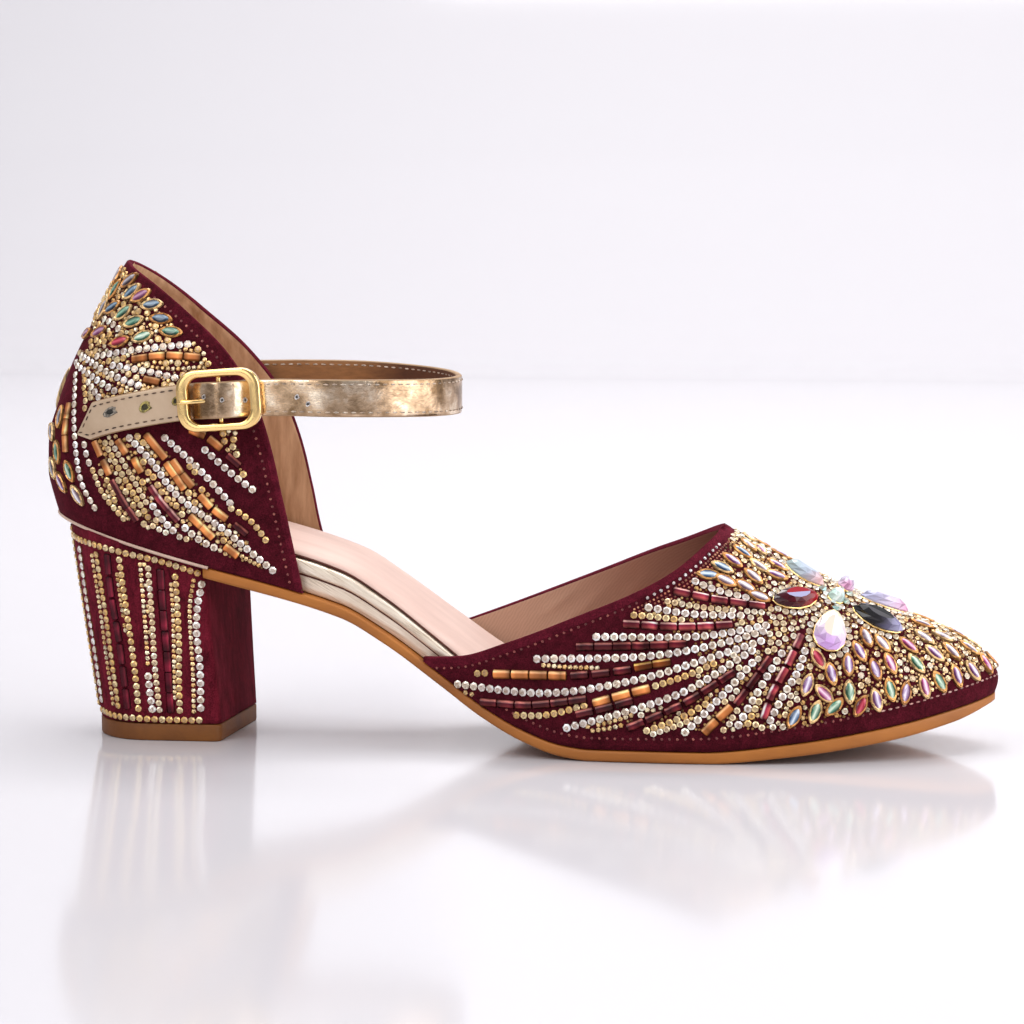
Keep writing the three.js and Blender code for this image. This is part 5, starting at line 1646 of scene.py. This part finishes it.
def make_flower(trimming):
    """Cut stones in gold cups with halos of strass; each stands for its node."""
    for number, (x, y, length, width, turn, kind, colour) in enumerate(STONES, 1):
        place, along, across, normal = stone_frame(x, y, turn)

        def lifted(flat, level):
            return place + flat[:, :1] * along + flat[:, 1:] * across + normal * (STONE_LIFT + level)

        outline = stone_outline(kind, length, width)
        between = (outline + np.roll(outline, -1, 0)) / 2
        plans = zip((outline, outline, between, outline), STONE_SHARES, STONE_LEVELS)
        points, faces, bands, spots = prism([
            lifted(plan * share, level * STONE_HEIGHT) for plan, share, level in plans
        ])
        skin = Skin()
        skin.bodies(points, faces)
        node = f"flower_stone_{number}" if number < len(STONES) else "flower_centre"
        made = skin.piece(node.replace("flower", "cut"), [stone_finish], node, smooth=False, weld=False)
        *stops, back, front = np.array(GEMS[colour])
        # Painted light on the stone: colours spread along it, a painted glint on each facet and a painted
        # reflection on one half of the table
        share = (points[faces] - place) @ along / length + 0.5
        crown = spread_colours(share, GEM_STOPS, stops) * rng.choice(GEM_GLINT, len(faces))[:, None, None]
        table_face = np.where((spots < STONE_SIDES / 2)[:, None], back, front)[:, None]
        set_tints(made, np.clip(np.where((bands == STONE_TABLE)[:, None, None], table_face, crown), 0, 1))
        closed = np.vstack([outline, outline[:1]])
        cup = tube(lifted(evenly(closed * CUP_SHARE, 49), CUP_LEVEL), CUP_RADIUS, 8)[:-1]
        cup_skin = Skin()
        cup_skin.grid(np.concatenate([cup, cup[:1]]), closed=True)
        cup_skin.piece(f"cup_{number}", [gold_metal])
        for share in STONE_SPOTS:
            trimming.take(np.array([place + along * length * share]), width * STONE_ROOM * (1 - abs(share)))
        edge = lifted(evenly(closed, 60), 0)
        trimming.row("halo", edge + unit(edge - place) * HALO_GAP)


def trim_vamp():
    walls = {side: vamp_wall(side)[0] for side in SIGN}
    trimming = Trimming("vamp", list(walls.values()), VAMP_INSIDE)
    places, normals = trimming.grounded(trimming.seen_spots(MINT_SPOTS))
    shape, *size, _ = KINDS["mint"]
    trimming.sew(shape, "mint", places, normals, rng.normal(size=places.shape), size)
    trimming.take(places, size[0] / 2)
    make_flower(trimming)
    for px, py, tilt, colour in VAMP_NAVETTES:
        near = trimming.seen(tilted((px, py), tilt, VAMP_NAVETTE_REACH), NAVETTE_SAMPLES)
        if len(near) < NAVETTE_SEEN:
            continue
        trimming.navette(near, colour)
        far = across_vamp(near)
        if trimming.free(far.mean(0)[None], NAVETTE_WIDTH / 2)[0]:
            trimming.navette(far, colour)
    trimming.charted_rows(VAMP_ROWS, across_vamp)
    low_away = curve(FEATHER_DOTS, "x", "away")
    for wall in walls.values():
        down = wall[:, ::-1]
        edge = evenly(wall[:VAMP_REAR_STEPS + 1, -1], EDGE_STEPS)
        top = edge_line(down, edge, TOPLINE_DOTS)
        turn = int(len(top) * THROAT_DOTS)
        trimming.row("pin", top[:turn])
        trimming.row("pearl", top[turn:])
        for away in THROAT_MESH:
            mesh = edge_line(down, edge, away)
            trimming.row("copper_pin", mesh[mesh[:, 0] > THROAT_REACH])
        seeds = edge_line(down, edge, THROAT_SEEDS)
        trimming.row("seed", seeds[seeds[:, 0] > THROAT_REACH])
        low = edge_line(wall, evenly(wall[:, 0], EDGE_STEPS), low_away(wall[:, 0, 0]))
        trimming.row("pin", low[(low[:, 0] > LOW_DOTS_X) & (low[:, 0] < DASHES_X)])
        trimming.row("dash", low[low[:, 0] >= DASHES_X])
    fill_vamp(trimming)
    trimming.finish()


def fill_vamp(trimming):
    """Small beads between the toe's stones and between the rows near them."""
    x = rng.uniform(*FILL_X, FILL_TRIES)
    angle = rng.uniform(*FILL_ANGLE, FILL_TRIES)
    pixels = to_photo(vamp_point(x, angle, "lateral"))
    for field, kinds in ((TOE_FIELD, TOE_KINDS), (FAN_FIELD, FAN_KINDS)):
        keep = within(pixels, field)
        for kind, share in kinds:
            for side in SIGN:
                trimming.scatter(vamp_point(x[keep], angle[keep], side), kind, share)


# Rows of the counter's fan: kind of bead and pixels of the photograph
COUNTER_ROWS = [
    ("silver", (100, 317), (110, 322), (121, 331)),
    ("silver", (95, 357), (135, 350), (192, 344)),
    ("silver", (110, 365), (150, 372), (179, 379)),
    ("silver", (81, 355), (112, 375), (142, 387)),
    ("silver", (77, 365), (100, 382), (118, 393)),
    ("silver", (82, 372), (94, 390), (101, 400)),
    ("silver", (77, 360), (75, 430), (82, 482), (97, 511)),
    ("silver", (84, 440), (87, 455), (91, 467)),
    ("silver", (127, 435), (152, 462), (177, 495), (225, 530)),
    ("silver", (162, 435), (200, 470), (233, 506)),
    ("silver", (202, 447), (230, 472), (256, 492)),
    ("silver", (225, 530), (245, 547), (276, 573)),
    ("silver", (182, 525), (200, 540), (226, 553)),
    ("silver", (151, 503), (163, 520), (176, 533)),
    ("copper", (132, 360), (165, 356), (201, 358)),
    ("copper", (140, 378), (150, 381), (164, 383)),
    ("copper", (94, 439), (101, 456), (111, 477)),
    ("garnet", (112, 480), (124, 502), (137, 521)),
    ("copper", (116, 438), (122, 447), (128, 456)),
    ("copper", (134, 459), (140, 470), (149, 484)),
    ("rose", (150, 486), (159, 499), (178, 521)),
    ("copper", (146, 435), (155, 446), (165, 458)),
    ("copper", (172, 460), (181, 473), (193, 487)),
    ("copper", (166, 463), (176, 477), (184, 489)),
    ("copper", (199, 494), (212, 508), (228, 520)),
    ("garnet", (230, 521), (240, 529), (251, 538)),
    ("copper", (188, 429), (205, 436), (223, 450)),
    ("garnet", (225, 453), (234, 461), (242, 468)),
    ("copper", (190, 516), (203, 528), (213, 538)),
    ("copper", (225, 546), (231, 551), (238, 556)),
    ("copper", (70, 403), (66, 428), (66, 452)),
    ("gold", (205, 363), (208, 364), (211, 366)),
    ("gold", (107, 365), (120, 364), (133, 366)),
    ("gold", (84, 385), (86, 397), (85, 412)),
    ("gold", (92, 467), (103, 493), (126, 521)),
    ("gold", (101, 464), (112, 490), (131, 519)),
    ("gold", (104, 440), (120, 470), (150, 520)),
    ("cream", (110, 440), (128, 470), (158, 523)),
    ("gold", (172, 448), (204, 481), (234, 511)),
    ("gold", (236, 510), (253, 523), (268, 543)),
    ("cream", (186, 503), (222, 532), (262, 565)),
    ("cream", (150, 524), (165, 532), (190, 540)),
    ("seed", (150, 367), (175, 369), (202, 367)),
    ("seed", (96, 372), (118, 383), (138, 393)),
    ("seed", (240, 555), (250, 561), (261, 566)),
]

# Navettes of the counter: pixel of the photograph, tilt of the long axis there, colour
COUNTER_NAVETTES = [
    (119, 276, 65, "smoke"), (116, 290, 60, "moss"), (130, 281, 40, "smoke"), (132, 292, 40, "night"),
    (141, 296, 30, "plum"), (152, 305, 8, "night"), (113, 308, 35, "night"), (124, 313, 40, "moss"),
    (134, 322, 20, "moss"), (161, 319, -4, "night"), (171, 332, -5, "moss"), (143, 337, 20, "green"),
    (120, 342, 20, "ruby"), (100, 332, 30, "plum"), (104, 309, 65, "smoke"), (100, 296, 62, "plum"),
    (88, 334, 45, "plum"), (58, 452, -85, "moss"), (53, 432, -85, "smoke"), (54, 468, -80, "smoke"),
    (62, 482, -65, "violet"), (70, 471, -70, "green"), (78, 495, -60, "clear"), (61, 417, 80, "smoke"),
]
COUNTER_NAVETTE_REACH = 5
COUNTER_NAVETTE_ROOM = 0.4

# Corner pixels of the counter's fields of small beads
COUNTER_FIELDS = [
    [(92, 437), (150, 435), (200, 485), (245, 540), (280, 575), (230, 557), (185, 537), (130, 523),
     (108, 500)],
    [(80, 352), (195, 342), (212, 364), (180, 385), (145, 396), (85, 402)],
    [(218, 430), (246, 432), (253, 475), (246, 484), (228, 458)],
    [(112, 272), (124, 270), (176, 330), (168, 341), (90, 350), (96, 312)],
]
COUNTER_INSIDE = np.array([40, 0, 75])
COUNTER_TRIES = 14000
COUNTER_TURNS = (0, 1.5)
COUNTER_BEADS = 0.95
COUNTER_KINDS = [("gold", 0.9), ("seed", 0.84), ("grain", 0.8)]
COLLAR_DOTS = 2.6
COLLAR_CLEAR = 2
BACK_STONE_LEVELS = np.array([88, 91, 94])
BACK_STONE = (12, 7)


def trim_counter():
    walls = {side: counter_wall(side)[0] for side in SIGN}
    trimming = Trimming("counter", list(walls.values()), COUNTER_INSIDE)
    collar = evenly(walls["medial"][:, -1], EDGE_STEPS)

    def on_far_side(points):
        places = trimming.mirrored(points)
        return places[edge_distance(places[None], collar)[0] > COLLAR_CLEAR]

    back = counter_point(np.zeros(len(BACK_STONE_LEVELS)), BACK_STONE_LEVELS, "lateral")
    trimming.navette(back, "violet", *BACK_STONE)
    for px, py, tilt, colour in COUNTER_NAVETTES:
        near = trimming.seen(tilted((px, py), tilt, COUNTER_NAVETTE_REACH), NAVETTE_SAMPLES)
        if len(near) < NAVETTE_SEEN:
            continue
        room = NAVETTE_WIDTH * COUNTER_NAVETTE_ROOM
        for line in (near, on_far_side(near)):
            if len(line) >= NAVETTE_SEEN and trimming.free(line.mean(0)[None], room)[0]:
                trimming.navette(line, colour)
    trimming.charted_rows(COUNTER_ROWS, on_far_side, COUNTER_BEADS)
    turn = rng.uniform(*COUNTER_TURNS, COUNTER_TRIES)
    level = rng.uniform(COLLAR["z"][0], COLLAR["z"][-1], COUNTER_TRIES)
    spots = counter_point(turn, level, "lateral")
    pixels = to_photo(spots)
    for field in COUNTER_FIELDS:
        keep = within(pixels, field)
        for kind, share in COUNTER_KINDS:
            trimming.scatter(spots[keep], kind, share)
            trimming.scatter(on_far_side(spots[keep]), kind, share)
    for wall in walls.values():
        trimming.row("pin", edge_line(wall[:, ::-1], evenly(wall[:, -1], EDGE_STEPS), COLLAR_DOTS))
    trimming.finish()


# Columns and edge rows of the heel: kind of bead and pixels of the photograph
HEEL_ROWS = [
    ("gold", (70, 530), (78, 538), (90, 543), (125, 553), (160, 561), (201, 574)),
    ("gold", (102, 709), (114, 715), (138, 718), (170, 720), (194, 721), (203, 719)),
    ("silver", (202, 580), (197, 612), (197, 635), (200, 665), (201, 712)),
    ("seed", (194, 578), (190, 605), (191, 640), (193, 670), (194, 714)),
    ("gold", (175, 573), (177, 600), (179, 640), (179, 677), (180, 714)),
    ("seed", (171, 582), (173, 610), (174, 650), (175, 700)),
    ("wine", (160, 569), (163, 613), (167, 657), (171, 713)),
    ("cream", (148, 565), (152, 617), (155, 667), (160, 713)),
    ("seed", (140, 562), (144, 608), (147, 650), (148, 666)),
    ("seed", (144, 562), (148, 608), (150, 640)),
    ("silver", (148, 672), (150, 692), (153, 713)),
    ("gold", (119, 556), (124, 592), (131, 640), (136, 680), (139, 712)),
    ("seed", (117, 572), (121, 600), (126, 633)),
    ("wine", (107, 553), (111, 592), (119, 640), (128, 710)),
    ("gold", (96, 551), (105, 607), (112, 658), (119, 709)),
    ("seed", (92, 553), (100, 605), (107, 658), (114, 706)),
    ("silver", (80, 545), (88, 602), (96, 652), (103, 703)),
]
HEEL_MIDDLE = np.array([30, 0, 30])
HEEL_TRIM_LEVELS = np.linspace(0.02, 0.98, 49)
HEEL_BEADS = 0.98
HEEL_BACK_BEADS = 0.95

# Columns round the back of the heel, out of the photograph: share of the way to the middle of the back, kind
HEEL_BACK = [(0.9, "gold"), (0.94, "wine"), (0.98, "gold")]


def trim_heel():
    rings = np.stack([heel_ring(v) for v in HEEL_TRIM_LEVELS])
    trimming = Trimming("heel", [np.concatenate([rings, rings[:, :1]], 1)], HEEL_MIDDLE)
    trimming.charted_rows(HEEL_ROWS, trimming.mirrored, HEEL_BEADS)
    for share, kind in HEEL_BACK:
        for place in (share / 2, 1 - share / 2):
            column = rings[:, round(place * HEEL_ROUND) % HEEL_ROUND]
            trimming.row(kind, column[1:-1], HEEL_BACK_BEADS)
    trimming.finish()


# Strap: stitches along its edges, and holes at pixels of the photograph with their size and colour; the pale
# rims of the small holes are painted glints
STRAP_INSIDE = np.array([62, 0, 91])
STRAP_FAR = 1000
STRAP_DEPTHS = {"strap": -0.565, "strap_inside": 0.5}
STRAP_ACROSS = np.linspace(-0.94, 0.94, 9)
STITCH_INSET = 1.25
BUCKLE_REACH = 11
EYELET_HEIGHT = 0.8
STRAP_HOLES = [
    (110, 412, 4.4, 2.6, "eyelet_grey"), (145, 407, 3.6, 3.0, "eyelet"), (176, 401, 2.6, 2.4, "eyelet"),
    (204, 397, 1.3, 1.3, "pearl"), (222, 400, 1.3, 1.3, "pearl"), (245, 400, 1.3, 1.3, "pearl"),
    (297, 397, 1.4, 1.4, "pearl"), (308, 404, 1.4, 1.4, "pearl"),
]


def trim_strap():
    """Thread and holes on the outer face, and the thread that shows inside."""
    for name, depth in STRAP_DEPTHS.items():
        trimming = Trimming(name, [strap_lines(STRAP_ACROSS, depth)], STRAP_INSIDE)
        if depth > 0:
            trimming.inside = STRAP_INSIDE + strap_in.mean(0) * STRAP_FAR
        middle = (strap_upper + strap_lower) / 2
        for sign in (-1, 1):
            inset = middle + sign * np.maximum((strap_upper - strap_lower) / 2 - STITCH_INSET, 0)
            line = strap_path + strap_wide * inset[:, None] + strap_in * STRAP_THICKNESS * depth
            behind = np.abs(line[:, 0] - BUCKLE_PLACE[0]) < BUCKLE_REACH
            tail = (line[:, 0] < TAIL_X) & (line[:, 1] < 0)
            trimming.row("dark_stitch" if depth < 0 else "stitch", line[tail])
            trimming.row("stitch", line[~tail & ~(behind & (line[:, 1] < 0))])
        if depth < 0:
            for px, py, length, width, colour in STRAP_HOLES:
                # Holes with painted shade on their floors; the pale small ones have painted glints round them
                places, normals = trimming.grounded(trimming.seen_spots([(px, py)]))
                size = (length, width, EYELET_HEIGHT)
                trimming.sew("eyelet", colour, places, normals, strap_along[-1:], size)
        trimming.finish()


make_camera()
make_floor()
make_sky()
make_lamps()
make_vamp()
make_counter()
make_outsole()
make_insole()
make_sock()
make_heel()
make_lift()
make_rand()
make_strap()
make_buckle_frame()
make_prong()
make_tab()
trim_vamp()
trim_counter()
trim_heel()
trim_strap()
